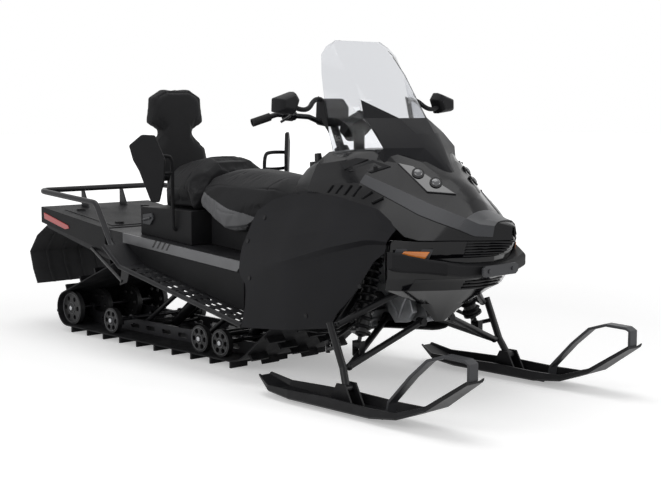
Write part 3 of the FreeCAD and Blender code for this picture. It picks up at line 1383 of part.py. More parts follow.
def make_gauge():
    """Round instrument behind the windshield on its stalk."""
    low = V(GAUGE_X, 0, BODY_HEIGHT * GAUGE_FOOT_SHARE)
    face = V(-1, 0, 1).normalize()
    centre = V(GAUGE_X, 0, GAUGE_Z)
    return fused([rod(low, centre, GAUGE_RADIUS / 3), rod(centre, centre + face * GAUGE_DEPTH, GAUGE_RADIUS)])


def make_mirror():
    """Right mirror housing on its arm and the plate at the windshield's edge."""
    low = V(MIRROR_X - MIRROR_DEPTH / 2, -MIRROR_Y - MIRROR_WIDTH / 2, MIRROR_Z - MIRROR_HEIGHT / 2)
    housing = box(low, low + V(MIRROR_DEPTH, MIRROR_WIDTH, MIRROR_HEIGHT))
    edge_y = -SCREEN_HALF_WIDTH - SOFT_GAP
    first = screen_row(*SCREEN_SHARES[3])[0]
    second = screen_row(*SCREEN_SHARES[4])[0]
    reach = MIRROR_DEPTH * 0.7
    plate = side_outline([
        (second.x - reach, (second.z + first.z) / 2),
        (second.x + SCREEN_WALL, (second.z * 3 + first.z) / 4),
        (first.x + SCREEN_WALL, first.z),
        (first.x - reach, first.z + reach / 2),
    ], edge_y - PANEL_WALL, edge_y)
    start = V(MIRROR_X, -MIRROR_Y + MIRROR_WIDTH / 2 - PANEL_WALL, MIRROR_Z - MIRROR_HEIGHT / 4)
    end = V(first.x - reach / 2, edge_y - PANEL_WALL / 2, first.z)
    return fused([housing, rod(start, end, GUARD_TUBE), plate])


HEADLIGHT_SHARES = ((0.64, 0.943, 0.574), (0.715, 0.93, 0.52), (0.81, 0.822, 0.255), (0.745, 0.80, 0.53))


def make_headlight():
    """Right headlight: dark lens block with two projector lenses."""
    corners = [at(share_x, share_z, -share_y) for share_x, share_z, share_y in HEADLIGHT_SHARES]
    first, second, third, fourth = corners
    normal = (fourth - first).cross(third - first).normalize()
    if normal.x < 0:
        normal = normal * -1
    reach = (first - second).dot(normal) / normal.x
    second = second + V(reach, 0, 0)
    lifted = [point + normal * PANEL_WALL for point in (first, second, third, fourth)]
    lens = outline_solid(lifted, normal * -HEADLIGHT_DEPTH)
    middle = (first + third) * 0.5 + normal * PANEL_WALL
    across = (third - first).normalize()
    for side in (-1, 1):
        centre = middle + across * (PROJECTOR_RADIUS * 1.6 * side)
        lens = lens.fuse(rod(centre, centre + normal * PANEL_WALL, PROJECTOR_RADIUS))
    return lens.removeSplitter()


def steering_way():
    """Direction of the steering post, upwards and backwards."""
    return (V(BAR_X, 0, BAR_Z) - V(POST_LOW_X, 0, POST_LOW_Z)).normalize()


def make_handlebar():
    """Handlebar tube with its post."""
    half = BAR_HALF_WIDTH
    low = V(POST_LOW_X, 0, POST_LOW_Z)
    clamp = V(BAR_X, 0, BAR_Z) - steering_way() * BAR_RADIUS * 4
    bar = bent_tube([
        V(BAR_X - BAR_RADIUS * 4, -half, BAR_Z - BAR_RADIUS * 3),
        V(BAR_X - BAR_RADIUS, -half * 0.75, BAR_Z),
        V(BAR_X + BAR_RADIUS, -half * 0.35, BAR_Z - BAR_RADIUS),
        V(clamp.x, -half * 0.15, clamp.z),
        V(clamp.x, half * 0.15, clamp.z),
        V(BAR_X + BAR_RADIUS, half * 0.35, BAR_Z - BAR_RADIUS),
        V(BAR_X - BAR_RADIUS, half * 0.75, BAR_Z),
        V(BAR_X - BAR_RADIUS * 4, half, BAR_Z - BAR_RADIUS * 3),
    ], BAR_RADIUS, BAR_RADIUS * 5)
    post = rod(low, clamp, POST_RADIUS)
    return fused([bar, post])


def make_grips():
    """Rubber grips on both ends of the handlebar."""
    grips = []
    for side in (-1, 1):
        bend = V(BAR_X - BAR_RADIUS, side * BAR_HALF_WIDTH * 0.75, BAR_Z)
        tip = V(BAR_X - BAR_RADIUS * 4, side * BAR_HALF_WIDTH, BAR_Z - BAR_RADIUS * 3)
        inner = V(BAR_X + BAR_RADIUS, side * BAR_HALF_WIDTH * 0.35, BAR_Z - BAR_RADIUS)
        way = (bend - inner).normalize()
        out = (tip - bend).normalize()
        start = bend + out * BAR_RADIUS * 3
        grips.append(rod(start, tip + out * PANEL_WALL, GRIP_RADIUS, BAR_RADIUS))
        grips.append(rod(bend - way * BAR_RADIUS * 7, bend - way * BAR_RADIUS * 3.5, GRIP_RADIUS * 1.4, BAR_RADIUS))
    return Part.makeCompound(grips)


def make_steering_support():
    """Fixed steering hoop on the tunnel with the seat that the post turns on."""
    way = steering_way()
    low = V(POST_LOW_X, 0, POST_LOW_Z) - way * SOFT_GAP
    seat = rod(low - way * SEAT_RAIL, low, POST_RADIUS * 1.6)
    leg_radius = POST_RADIUS * 0.7
    foot_x = FIREWALL_X + SPROCKET_RADIUS - SEAT_RAIL
    rear_x = foot_x - SEAT_RAIL / 2
    front_x = foot_x + SEAT_RAIL / 2
    half = SEAT_RAIL * 3 + leg_radius
    plate = side_outline([
        (rear_x, tunnel_top(rear_x)),
        (front_x, tunnel_top(front_x)),
        (front_x, tunnel_top(front_x) + leg_radius / 2),
        (rear_x, tunnel_top(rear_x) + leg_radius / 2),
    ], -half, half)
    legs = [plate]
    for side in (-1, 1):
        foot = V(foot_x, side * SEAT_RAIL * 3, tunnel_top(foot_x) + leg_radius * 0.75)
        legs.append(rod(foot, low - way * SEAT_RAIL / 2, leg_radius))
    return fused([seat] + legs)


def export(name, shape):
    """Write one node's STEP file."""
    print(name, "solids", len(shape.Solids), "valid", shape.isValid(), "volume", round(shape.Volume / 1000))
    shape.exportStep(os.path.join("parts", name + ".step"))


def export_pair(name, shape):
    """Write a right-hand node and its mirrored left-hand node."""
    export(name + "_right", shape)
    export(name + "_left", flipped(shape))


def main():
    """Build every node."""
    os.makedirs("parts", exist_ok=True)
    export("track", make_track())
    export("skid_wheels", make_wheels())
    export("skid_rails", make_rails())
    export("skid_arms", make_swing_arms())
    export("skid_shocks", make_skid_shocks())
    export("drive_axle", make_drive_axle())
    export("tunnel", make_tunnel())
    export("running_boards", both(make_board()))
    export("tunnel_rails", both(make_side_cover()))
    export("tunnel_covers", both(make_lower_cover()))
    export("board_struts", both(make_rear_bracket()))
    export("tail_cover", make_tail())
    export("tail_light", make_tail_light())
    export("snow_flap", make_flap())
    export("cargo_rack", make_rack())
    export("tow_hitch", make_hitch())
    export("driver_seat", make_driver_seat())
    export("passenger_seat", make_passenger_seat())
    export("passenger_box", make_passenger_box())
    export("backrest", make_backrest())
    export("backrest_post", make_backrest_post())
    export("hand_guards", both(make_guard()))
    export_pair("side_panel", make_side_panel())
    export("hood", make_hood())
    export("nose_fascia", make_fascia())
    export("front_bumper", make_bumper())
    export("belly_pan", make_belly())
    export("engine", make_engine())
    export("bulkhead", make_bulkhead())
    export("upper_arms", both(make_upper_arm()))
    export("lower_arms", both(make_lower_arm()))
    export("front_shocks", both(make_front_shock()))
    export_pair("spindle", make_spindle())
    export_pair("ski", make_ski())
    export_pair("ski_loop", make_ski_loop())
    export("windshield", make_screen())
    export("windshield_base", make_screen_base())
    export("console", make_console())
    export("gauge", make_gauge())
    export("mirrors", both(make_mirror()))
    export("headlights", both(make_headlight()))
    export("handlebar", make_handlebar())
    export("grips", make_grips())
    export("steering_support", make_steering_support())
    export_pair("tie_rod", make_tie_rod())


main()
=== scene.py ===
"""Looks of a two-up utility snowmobile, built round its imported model.

Metres, +X forward, +Y to the rider's left, +Z up, origin on the ground under the
middle of the machine.  Every sub-assembly is a class that builds and dresses its pieces.
"""
import logging
import math
from dataclasses import dataclass
from enum import Enum
from typing import Iterable, Sequence

import bmesh
import bpy
from mathutils import Matrix, Vector


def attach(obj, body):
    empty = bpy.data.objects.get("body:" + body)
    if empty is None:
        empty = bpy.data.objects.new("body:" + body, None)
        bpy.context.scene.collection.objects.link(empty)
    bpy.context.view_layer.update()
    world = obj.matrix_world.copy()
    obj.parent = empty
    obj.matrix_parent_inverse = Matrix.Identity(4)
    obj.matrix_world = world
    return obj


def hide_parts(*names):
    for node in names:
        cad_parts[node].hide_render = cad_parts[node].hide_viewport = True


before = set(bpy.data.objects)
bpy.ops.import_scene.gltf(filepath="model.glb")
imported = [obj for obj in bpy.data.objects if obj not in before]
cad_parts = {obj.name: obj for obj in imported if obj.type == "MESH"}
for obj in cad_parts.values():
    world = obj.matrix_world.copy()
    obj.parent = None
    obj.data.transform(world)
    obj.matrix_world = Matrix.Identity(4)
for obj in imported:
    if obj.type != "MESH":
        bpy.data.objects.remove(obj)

log = logging.getLogger("snowmobile")
Mesh = bmesh.types.BMesh
Piece = bpy.types.Object
Tree = bpy.types.NodeTree
Socket = bpy.types.NodeSocket
Point = tuple[float, float, float]
Colour = tuple[float, float, float]
Outline = tuple[tuple[float, float], ...]
Row = tuple[float, Outline]

AHEAD = Vector((1.0, 0.0, 0.0))
LEFT = Vector((0.0, 1.0, 0.0))
UP = Vector((0.0, 0.0, 1.0))
MERGE = 1e-5


class Body(Enum):
    """Bodies of the machine that a piece can ride on."""

    CHASSIS = "chassis"
    HANDLEBAR = "handlebar"
    SKI_RIGHT = "ski_right_body"
    SKI_LEFT = "ski_left_body"


def add_node(tree: Tree, kind: str, links: dict[str | int, Socket] | None = None, **values: object) -> bpy.types.Node:
    """Add a node, set its properties and sockets, and link what feeds it.

    Args:
        tree: Node tree that gets the node.
        kind: Blender's name of the node type, after ShaderNode.
        links: Input names or numbers with the socket that feeds each.
        **values: Properties of the node, or its inputs by name with spaces as underscores.

    Returns:
        The new node.
    """
    node = tree.nodes.new(f"ShaderNode{kind}")
    for key, value in values.items():
        if hasattr(node, key):
            setattr(node, key, value)
        else:
            node.inputs[key.replace("_", " ")].default_value = value
    for key, socket in (links or {}).items():
        tree.links.new(socket, node.inputs[key])
    return node


def combine(tree: Tree, operation: str, first: Socket, second: Socket | float, clamp: bool = False) -> Socket:
    """Join a value with another one, or with a number, by an operation."""
    node = add_node(tree, "Math", {0: first}, operation=operation, use_clamp=clamp)
    if isinstance(second, float):
        node.inputs[1].default_value = second
    else:
        tree.links.new(second, node.inputs[1])
    return node.outputs[0]


class Group:
    """A shader node group with named inputs and outputs, built once."""

    def __init__(self, name: str, inputs: dict[str, float | Colour], outputs: dict[str, str]) -> None:
        """Make the empty group.

        Args:
            name: Name of the group.
            inputs: First value of each input: a number or a colour.
            outputs: Kind of each output.
        """
        self.tree = bpy.data.node_groups.new(name, "ShaderNodeTree")
        for label, value in inputs.items():
            kind = "Color" if isinstance(value, tuple) else "Float"
            socket = self.tree.interface.new_socket(label, in_out="INPUT", socket_type=f"NodeSocket{kind}")
            socket.default_value = (*value, 1.0) if isinstance(value, tuple) else value
        for label, kind in outputs.items():
            self.tree.interface.new_socket(label, in_out="OUTPUT", socket_type=f"NodeSocket{kind}")
        self.entry = self.tree.nodes.new("NodeGroupInput").outputs
        self.exit = self.tree.nodes.new("NodeGroupOutput").inputs
        self.place = self.node("TexCoord").outputs["Object"]

    def node(self, kind: str, links: dict[str | int, Socket] | None = None, **values: object) -> bpy.types.Node:
        """Add a node to the group; see add_node."""
        return add_node(self.tree, kind, links, **values)

    def give(self, label: str, source: Socket) -> None:
        """Send a socket to one of the group's outputs."""
        self.tree.links.new(source, self.exit[label])


def build_tone_group() -> Tree:
    """Group that varies a colour and a roughness slightly over a surface.

    Returns:
        The group's node tree, with inputs Colour, Amount, Scale and Roughness.
    """
    group = Group("SurfaceTone", {"Colour": (0.1, 0.1, 0.1), "Amount": 0.12, "Scale": 6.0, "Roughness": 0.5},
                  {"Colour": "Color", "Roughness": "Float"})
    cloud = group.node("TexNoise", {"Vector": group.place, "Scale": group.entry["Scale"]}, Detail=4.0)
    spread = group.node("MapRange", {"Value": cloud.outputs["Fac"]}, From_Min=0.3, From_Max=0.7, To_Min=-1.0,
                        To_Max=1.0)
    shift = combine(group.tree, "MULTIPLY", spread.outputs[0], group.entry["Amount"])
    gain = combine(group.tree, "ADD", shift, 1.0)
    scaled = group.node("VectorMath", {0: group.entry["Colour"]}, operation="SCALE")
    group.tree.links.new(gain, scaled.inputs["Scale"])
    rough_shift = combine(group.tree, "MULTIPLY", shift, 0.35)
    group.give("Colour", scaled.outputs[0])
    group.give("Roughness", combine(group.tree, "ADD", group.entry["Roughness"], rough_shift, True))
    return group.tree


def build_grain_group() -> Tree:
    """Group that gives the height of a fine moulded grain.

    Returns:
        The group's node tree, with inputs Scale and Mix and the output Height.
    """
    group = Group("MouldedGrain", {"Scale": 900.0, "Mix": 0.5}, {"Height": "Float"})
    feed = {"Vector": group.place, "Scale": group.entry["Scale"]}
    cells = group.node("TexVoronoi", feed).outputs["Distance"]
    fine = group.node("TexNoise", feed, Detail=3.0).outputs["Fac"]
    blend = group.node("Mix", {"Factor": group.entry["Mix"], 2: cells, 3: fine}, data_type="FLOAT")
    group.give("Height", blend.outputs[0])
    return group.tree


def build_dust_group() -> Tree:
    """Group that lightens a colour where fine dust settles in soft patches.

    Returns:
        The group's node tree, with inputs Colour, Dust and Amount and the output Colour.
    """
    group = Group("SettledDust", {"Colour": (0.05, 0.05, 0.05), "Dust": (0.35, 0.35, 0.36), "Amount": 0.1},
                  {"Colour": "Color"})
    cloud = group.node("TexNoise", {"Vector": group.place}, Scale=14.0, Detail=6.0)
    spread = group.node("MapRange", {"Value": cloud.outputs["Fac"]}, From_Min=0.45, From_Max=0.75)
    amount = combine(group.tree, "MULTIPLY", spread.outputs[0], group.entry["Amount"])
    mix = group.node("Mix", {"Factor": amount, 6: group.entry["Colour"], 7: group.entry["Dust"]}, data_type="RGBA")
    group.give("Colour", mix.outputs[2])
    return group.tree


TONE = build_tone_group()
GRAIN = build_grain_group()
DUST = build_dust_group()


@dataclass(frozen=True)
class Look:
    """A material that is made once, and the record's slot that it stands for."""

    name: str
    colour: Colour
    roughness: float = 0.5

    def build(self) -> bpy.types.Material:
        """Make the material.

        Returns:
            The material, or the one already made for this look.
        """
        label = f"{self.name}_look"
        known = bpy.data.materials.get(label)
        if known:
            return known
        material = bpy.data.materials.new(label)
        material.use_nodes = True
        self.fill(material.node_tree, material.node_tree.nodes["Principled BSDF"].inputs)
        return material

    def fill(self, tree: Tree, shader: Sequence[Socket]) -> None:
        """Set the shader and feed it."""
        raise NotImplementedError


@dataclass(frozen=True)
class Finish(Look):
    """A moulded, painted or cast finish.

    Attributes:
        name: Name of the material.
        colour: Linear base colour.
        roughness: Mean roughness.
        metallic: Share of metal.
        coat: Weight of a clear coat.
        tone: How far colour and roughness wander.
        tone_scale: Scale of that wandering.
        grain: Strength of the fine grain.
        grain_scale: Scale of the fine grain.
        dust: Weight of settled dust.
        specular: Specular level of the bare surface.
        slot: Material slot of the record; not used.
    """

    metallic: float = 0.0
    coat: float = 0.0
    tone: float = 0.1
    tone_scale: float = 6.0
    grain: float = 0.15
    grain_scale: float = 900.0
    dust: float = 0.0
    specular: float = 0.5
    slot: str = "black_plastic"

    def fill(self, tree: Tree, shader: Sequence[Socket]) -> None:
        """Set the shader, and feed it with tone, dust and grain."""
        for label, value in (("Metallic", self.metallic), ("Coat Weight", self.coat), ("Coat Roughness", 0.08),
                             ("Specular IOR Level", self.specular)):
            shader[label].default_value = value
        tone = add_node(tree, "Group", node_tree=TONE)
        for label, value in (("Colour", (*self.colour, 1.0)), ("Amount", self.tone), ("Scale", self.tone_scale),
                             ("Roughness", self.roughness)):
            tone.inputs[label].default_value = value
        colour = tone.outputs["Colour"]
        if self.dust > 0:
            dust = add_node(tree, "Group", node_tree=DUST)
            dust.inputs["Amount"].default_value = self.dust
            tree.links.new(colour, dust.inputs["Colour"])
            colour = dust.outputs["Colour"]
        grain = add_node(tree, "Group", node_tree=GRAIN)
        grain.inputs["Scale"].default_value = self.grain_scale
        bump = add_node(tree, "Bump", {"Height": grain.outputs["Height"]}, Strength=self.grain, Distance=0.0006)
        tree.links.new(colour, shader["Base Color"])
        tree.links.new(tone.outputs["Roughness"], shader["Roughness"])
        tree.links.new(bump.outputs["Normal"], shader["Normal"])


@dataclass(frozen=True)
class ClearSheet(Look):
    """A clear or tinted sheet that lets light through."""

    slot: str = "screen"

    def fill(self, tree: Tree, shader: Sequence[Socket]) -> None:
        """Set the clear shader, with a slightly uneven roughness."""
        for label, value in (("Base Color", (*self.colour, 1.0)), ("Transmission Weight", 1.0), ("IOR", 1.2),
                             ("Alpha", 1.0)):
            shader[label].default_value = value
        tone = add_node(tree, "Group", node_tree=TONE)
        tone.inputs["Roughness"].default_value = self.roughness
        tone.inputs["Amount"].default_value = 0.05
        tree.links.new(tone.outputs["Roughness"], shader["Roughness"])


BLACK_PLASTIC = Finish("black_plastic", (0.013, 0.013, 0.014), 0.50, tone=0.18, grain=0.3, specular=0.10)
BODY_PLASTIC = Finish("body_plastic", (0.011, 0.011, 0.0125), 0.44, tone=0.12, grain=0.16, grain_scale=1300.0,
                      specular=0.10)
GLOSS_BLACK = Finish("gloss_black", (0.003, 0.003, 0.004), 0.12, coat=0.15, tone=0.05, grain=0.02, specular=0.22)
GREY_BAND = Finish("grey_band", (0.046, 0.047, 0.051), 0.36, coat=0.05, tone=0.06, grain=0.1, specular=0.2,
                   slot="grey_plastic")
RAIL_GREY = Finish("rail_grey", (0.150, 0.151, 0.156), 0.36, 0.3, tone=0.1, grain=0.2, specular=0.2)
SATIN_BLACK = Finish("satin_black", (0.007, 0.007, 0.008), 0.34, coat=0.05, tone=0.16, grain=0.15, specular=0.18)
TUNNEL_COAT = Finish("tunnel_coat", (0.013, 0.013, 0.0145), 0.42, 0.1, tone=0.18, grain=0.35, dust=0.03, specular=0.15)
RAIL_COAT = Finish("rail_coat", (0.030, 0.030, 0.033), 0.36, 0.5, tone=0.2, grain=0.2, specular=0.3)
TRACK_RUBBER = Finish("track_rubber", (0.010, 0.010, 0.011), 0.6, tone=0.3, tone_scale=18.0, grain=0.7,
                      grain_scale=420.0, dust=0.05, specular=0.12)
FLAP_RUBBER = Finish("flap_rubber", (0.042, 0.042, 0.044), 0.58, tone=0.16, grain=0.4, specular=0.12)
GRIP_RUBBER = Finish("grip_rubber", (0.009, 0.009, 0.009), 0.66, tone=0.1, grain=0.6, grain_scale=600.0, specular=0.2)
WHEEL_PLASTIC = Finish("wheel_plastic", (0.018, 0.018, 0.019), 0.42, tone=0.2, grain=0.2, specular=0.25)
RACK_PAINT = Finish("rack_paint", (0.016, 0.016, 0.018), 0.34, 0.1, coat=0.05, tone=0.12, grain=0.15, specular=0.2)
CAST_METAL = Finish("cast_metal", (0.24, 0.245, 0.255), 0.46, 0.7, tone=0.16, tone_scale=22.0, grain=0.5,
                    grain_scale=500.0, slot="casting")
ENGINE_METAL = Finish("engine_metal", (0.050, 0.050, 0.053), 0.5, 0.6, tone=0.25, grain=0.5)
SKI_PLASTIC = Finish("ski_plastic", (0.009, 0.009, 0.010), 0.4, tone=0.18, grain=0.2, dust=0.02, specular=0.14)
LOOP_GREY = Finish("loop_grey", (0.050, 0.051, 0.055), 0.4, tone=0.1, grain=0.25, specular=0.2, slot="ski_plastic")
SEAT_COVER = Finish("seat_cover", (0.017, 0.017, 0.018), 0.54, tone=0.14, grain=0.9, grain_scale=420.0, specular=0.08,
                    slot="seat_cover")
SIDE_COVER = Finish("seat_side_cover", (0.130, 0.131, 0.136), 0.52, grain=0.7, grain_scale=520.0, specular=0.1)
RED_LENS = Finish("red_lens", (0.42, 0.012, 0.010), 0.16, coat=0.6, tone=0.05, grain=0.05, slot="red_lens")
AMBER_LENS = Finish("amber_lens", (0.72, 0.20, 0.012), 0.18, coat=0.6, tone=0.05, grain=0.05, slot="red_lens")
LAMP_GLASS = Finish("lamp_glass", (0.008, 0.008, 0.010), 0.07, coat=1.0, tone=0.03, grain=0.0, slot="lamp_glass")
BRIGHT_METAL = Finish("bright_metal", (0.42, 0.425, 0.44), 0.28, 0.9, tone=0.08, grain=0.1, slot="rail_aluminium")
HOOD_FINISH = Finish("hood_finish", (0.006, 0.006, 0.007), 0.24, coat=0.12, tone=0.08, grain=0.05, grain_scale=1300.0,
                     specular=0.18)
PROJECTOR = Finish("projector_glass", (0.05, 0.052, 0.058), 0.08, coat=1.0, tone=0.03, grain=0.0, slot="lamp_glass")
MIRROR_FACE = Finish("mirror_face", (0.62, 0.63, 0.65), 0.05, 1.0, tone=0.02, grain=0.0, slot="screen")
WHEEL_RIM = Finish("wheel_rim", (0.085, 0.086, 0.09), 0.35, 0.5, tone=0.12, grain=0.1, slot="wheel_plastic")
SCREEN = ClearSheet("screen", (0.70, 0.71, 0.735), 0.06)

NODE_FINISH: dict[Look, str] = {
    TRACK_RUBBER: "track", WHEEL_PLASTIC: "skid_wheels drive_axle", RAIL_COAT: "skid_rails", FLAP_RUBBER: "snow_flap",
    SATIN_BLACK: "skid_arms skid_shocks board_struts tow_hitch backrest_post upper_arms lower_arms front_shocks "
                 "spindle_right spindle_left handlebar steering_support tie_rod_right tie_rod_left",
    TUNNEL_COAT: "tunnel running_boards", RAIL_GREY: "tunnel_rails", RED_LENS: "tail_light", RACK_PAINT: "cargo_rack",
    ENGINE_METAL: "engine", CAST_METAL: "bulkhead", GRIP_RUBBER: "grips", SKI_PLASTIC: "ski_right ski_left",
    LOOP_GREY: "ski_loop_right ski_loop_left", SCREEN: "windshield", LAMP_GLASS: "headlights",
}


def dress_nodes() -> None:
    """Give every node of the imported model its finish."""
    finishes = {name: finish for finish, names in NODE_FINISH.items() for name in names.split()}
    for name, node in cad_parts.items():
        node.data.materials.clear()
        node.data.materials.append(finishes.get(name, BLACK_PLASTIC).build())


def new_object(name: str, mesh: Mesh) -> Piece:
    """Object with a mesh, which is freed."""
    data = bpy.data.meshes.new(name)
    mesh.to_mesh(data)
    mesh.free()
    piece = bpy.data.objects.new(name, data)
    bpy.context.scene.collection.objects.link(piece)
    return piece


def finish_piece(name: str, mesh: Mesh, finish: Look, node: str = "", body: Body = Body.CHASSIS,
                 crease: float = 32.0) -> Piece:
    """Turn a mesh into a piece that rides on a body.

    Args:
        name: Name of the piece.
        mesh: Its shape, which is freed.
        finish: Its finish.
        node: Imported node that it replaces, if any.
        body: Body that carries it.
        crease: Degrees past which an edge stays sharp.

    Returns:
        The piece.
    """
    piece = new_object(name, mesh)
    piece.data.shade_smooth()
    piece.data.set_sharp_from_angle(angle=math.radians(crease))
    piece.data.materials.append(finish.build())
    piece.modifiers.new("normals", "WEIGHTED_NORMAL").keep_sharp = True
    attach(piece, body.value)
    if node:
        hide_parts(node)
    return piece


def wall_piece(name: str, surface: Mesh, finish: Look, thickness: float, node: str = "", crease: float = 26.0,
               edge: float = 0.0015, outward: bool = False) -> Piece:
    """Piece from an open surface, with a wall and rounded creases.

    Args:
        name: Name of the piece.
        surface: Its outer or inner face, which is freed.
        finish: Its finish.
        thickness: Thickness of the wall.
        node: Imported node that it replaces, if any.
        crease: Degrees past which an edge stays sharp.
        edge: Width of the rounding.
        outward: Whether the wall stands on the surface, not behind it.

    Returns:
        The piece.
    """
    piece = finish_piece(name, surface, finish, node, crease=crease)
    solid = piece.modifiers.new("wall", "SOLIDIFY")
    solid.thickness = thickness
    solid.offset = 1.0 if outward else -1.0
    bevel = piece.modifiers.new("edge", "BEVEL")
    bevel.width = edge
    bevel.segments = 2
    bevel.limit_method = "ANGLE"
    bevel.angle_limit = math.radians(20.0)
    piece.modifiers.move(0, len(piece.modifiers) - 1)
    return piece


def vec(x: float, y: float, z: float) -> Vector:
    """Point or direction."""
    return Vector((x, y, z))


def facing(way: Vector, side: Vector) -> Vector:
    """A direction, turned round where it points away from a side."""
    return -way if way.dot(side) < 0 else way


def loop(items: Sequence[object]) -> Iterable[tuple]:
    """Each item with the next one, and the last with the first."""
    return zip(items, (*items[1:], items[0]))


def everything(mesh: Mesh) -> list[object]:
    """Corners, edges and faces of a mesh."""
    return mesh.verts[:] + mesh.edges[:] + mesh.faces[:]


def soften(mesh: Mesh, width: float, crease: float = 24.0, segments: int = 2) -> None:
    """Round the creases that have room for it.

    Args:
        mesh: Mesh to change.
        width: Width of the rounding.
        crease: Degrees past which an edge is rounded.
        segments: Faces across the rounding.
    """
    reach = 2.4 * width

    def roomy(vert: bmesh.types.BMVert) -> bool:
        """Whether every edge at a corner is long enough."""
        return all(edge.calc_length() > reach for edge in vert.link_edges)

    creases = [edge for edge in mesh.edges if edge.is_manifold and edge.calc_face_angle(0.0) > math.radians(crease)
               and all(map(roomy, edge.verts))]
    if creases:
        bmesh.ops.bevel(mesh, geom=creases, offset=width, offset_type="OFFSET", segments=segments, profile=0.5,
                        affect="EDGES", clamp_overlap=True, material=-1)


def merged_copy(node: str) -> Mesh:
    """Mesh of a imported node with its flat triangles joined."""
    mesh = bmesh.new()
    mesh.from_mesh(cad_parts[node].data)
    bmesh.ops.remove_doubles(mesh, verts=mesh.verts[:], dist=MERGE)
    bmesh.ops.dissolve_limit(mesh, angle_limit=math.radians(0.25), verts=mesh.verts[:], edges=mesh.edges[:])
    return mesh


@dataclass(frozen=True)
class Skin:
    """A packed shell taken over as a finished moulding with rounded creases."""

    node: str
    edge: float

    def build(self) -> Piece:
        """Make the moulding that replaces its node."""
        mesh = merged_copy(self.node)
        soften(mesh, self.edge)
        return finish_piece(f"{self.node}_skin", mesh, BLACK_PLASTIC, self.node)


SKINS = (Skin("tail_cover", 0.002), Skin("passenger_box", 0.004))


def close_up(mesh: Mesh) -> Mesh:
    """Merge doubles, close open ends and turn the faces outwards."""
    bmesh.ops.remove_doubles(mesh, verts=mesh.verts[:], dist=MERGE)
    rims = [edge for edge in mesh.edges if edge.is_boundary]
    if rims:
        bmesh.ops.holes_fill(mesh, edges=rims, sides=0)
    bmesh.ops.recalc_face_normals(mesh, faces=mesh.faces[:])
    return mesh


def sheet(rows: Sequence[Sequence[Vector]], core: Point | None = None) -> Mesh:
    """Surface through rows of points.

    Args:
        rows: Rows with equal numbers of points; a closed row ends on its first point.
        core: Point behind an open surface; without it the ends are closed.

    Returns:
        The surface, facing outwards.
    """
    mesh = bmesh.new()
    bmesh.ops.create_grid(mesh, x_segments=len(rows[0]) - 1, y_segments=len(rows) - 1, size=1.0)
    for vert, place in zip(mesh.verts, (place for row in rows for place in row)):
        vert.co = place
    if core is None:
        return close_up(mesh)
    bmesh.ops.remove_doubles(mesh, verts=mesh.verts[:], dist=MERGE)
    bmesh.ops.recalc_face_normals(mesh, faces=mesh.faces[:])
    mesh.normal_update()
    if sum((face.calc_center_median() - Vector(core)).dot(face.normal) * face.calc_area() for face in mesh.faces) < 0:
        bmesh.ops.reverse_faces(mesh, faces=mesh.faces[:])
    return mesh


def prism(points: Sequence[Vector], way: Vector, edge: float = 0.0, segments: int = 2, crease: float = 24.0) -> Mesh:
    """Flat outline pushed along a direction, with rounded edges where a width is given."""
    mesh = bmesh.new()
    base = mesh.faces.new([mesh.verts.new(point) for point in points])
    grown = bmesh.ops.extrude_face_region(mesh, geom=[base])["geom"]
    bmesh.ops.translate(mesh, vec=way, verts=[item for item in grown if isinstance(item, bmesh.types.BMVert)])
    close_up(mesh)
    if edge > 0:
        soften(mesh, edge, crease, segments)
    return mesh


def upright(points: Outline, y: float, width: float, edge: float = 0.0, segments: int = 2) -> Mesh:
    """Plate with an outline in x and z, pushed across the machine."""
    return prism([vec(x, y, z) for x, z in points], LEFT * width, edge, segments)


def placed(centre: Vector, way: Vector) -> Matrix:
    """Matrix that turns the Z axis along a way and moves it to a centre."""
    return Matrix.Translation(centre) @ way.to_track_quat("Z", "Y").to_matrix().to_4x4()


def rod(start: Vector, end: Vector, radius: float, sides: int = 20, far_radius: float | None = None) -> Mesh:
    """Round bar between two points, with eased ends."""
    way = end - start
    mesh = bmesh.new()
    bmesh.ops.create_cone(mesh, cap_ends=True, segments=sides, radius1=radius, radius2=far_radius or radius,
                          depth=way.length, matrix=placed((start + end) / 2, way))
    soften(mesh, min(radius, way.length) * 0.12, 60.0)
    return mesh


def tube(points: Sequence[Vector], radius: float) -> Mesh:
    """Round tube along a smooth route."""
    curve = bpy.data.curves.new("route", "CURVE")
    curve.dimensions = "3D"
    curve.bevel_depth = radius
    curve.bevel_resolution = 3
    curve.use_fill_caps = True
    spline = curve.splines.new("NURBS")
    spline.points.add(len(points) - 1)
    for knot, place in zip(spline.points, points):
        knot.co = (*place, 1.0)
    spline.order_u = 3
    spline.use_endpoint_u = True
    spline.resolution_u = 8
    carrier = bpy.data.objects.new("route", curve)
    data = bpy.data.meshes.new_from_object(carrier)
    mesh = bmesh.new()
    mesh.from_mesh(data)
    bpy.data.objects.remove(carrier)
    bpy.data.curves.remove(curve)
    bpy.data.meshes.remove(data)
    return close_up(mesh)


def joined(parts: Iterable[Mesh]) -> Mesh:
    """One mesh out of several, which are freed."""
    whole = bmesh.new()
    for part in parts:
        carrier = bpy.data.meshes.new("part")
        part.to_mesh(carrier)
        part.free()
        whole.from_mesh(carrier)
        bpy.data.meshes.remove(carrier)
    return whole


def with_twin(mesh: Mesh) -> Mesh:
    """A right-hand shape together with its left-hand twin."""
    twin = bmesh.ops.duplicate(mesh, geom=everything(mesh))["geom"]
    bmesh.ops.scale(mesh, vec=(1.0, -1.0, 1.0), verts=[item for item in twin if isinstance(item, bmesh.types.BMVert)])
    bmesh.ops.reverse_faces(mesh, faces=[item for item in twin if isinstance(item, bmesh.types.BMFace)])
    return mesh


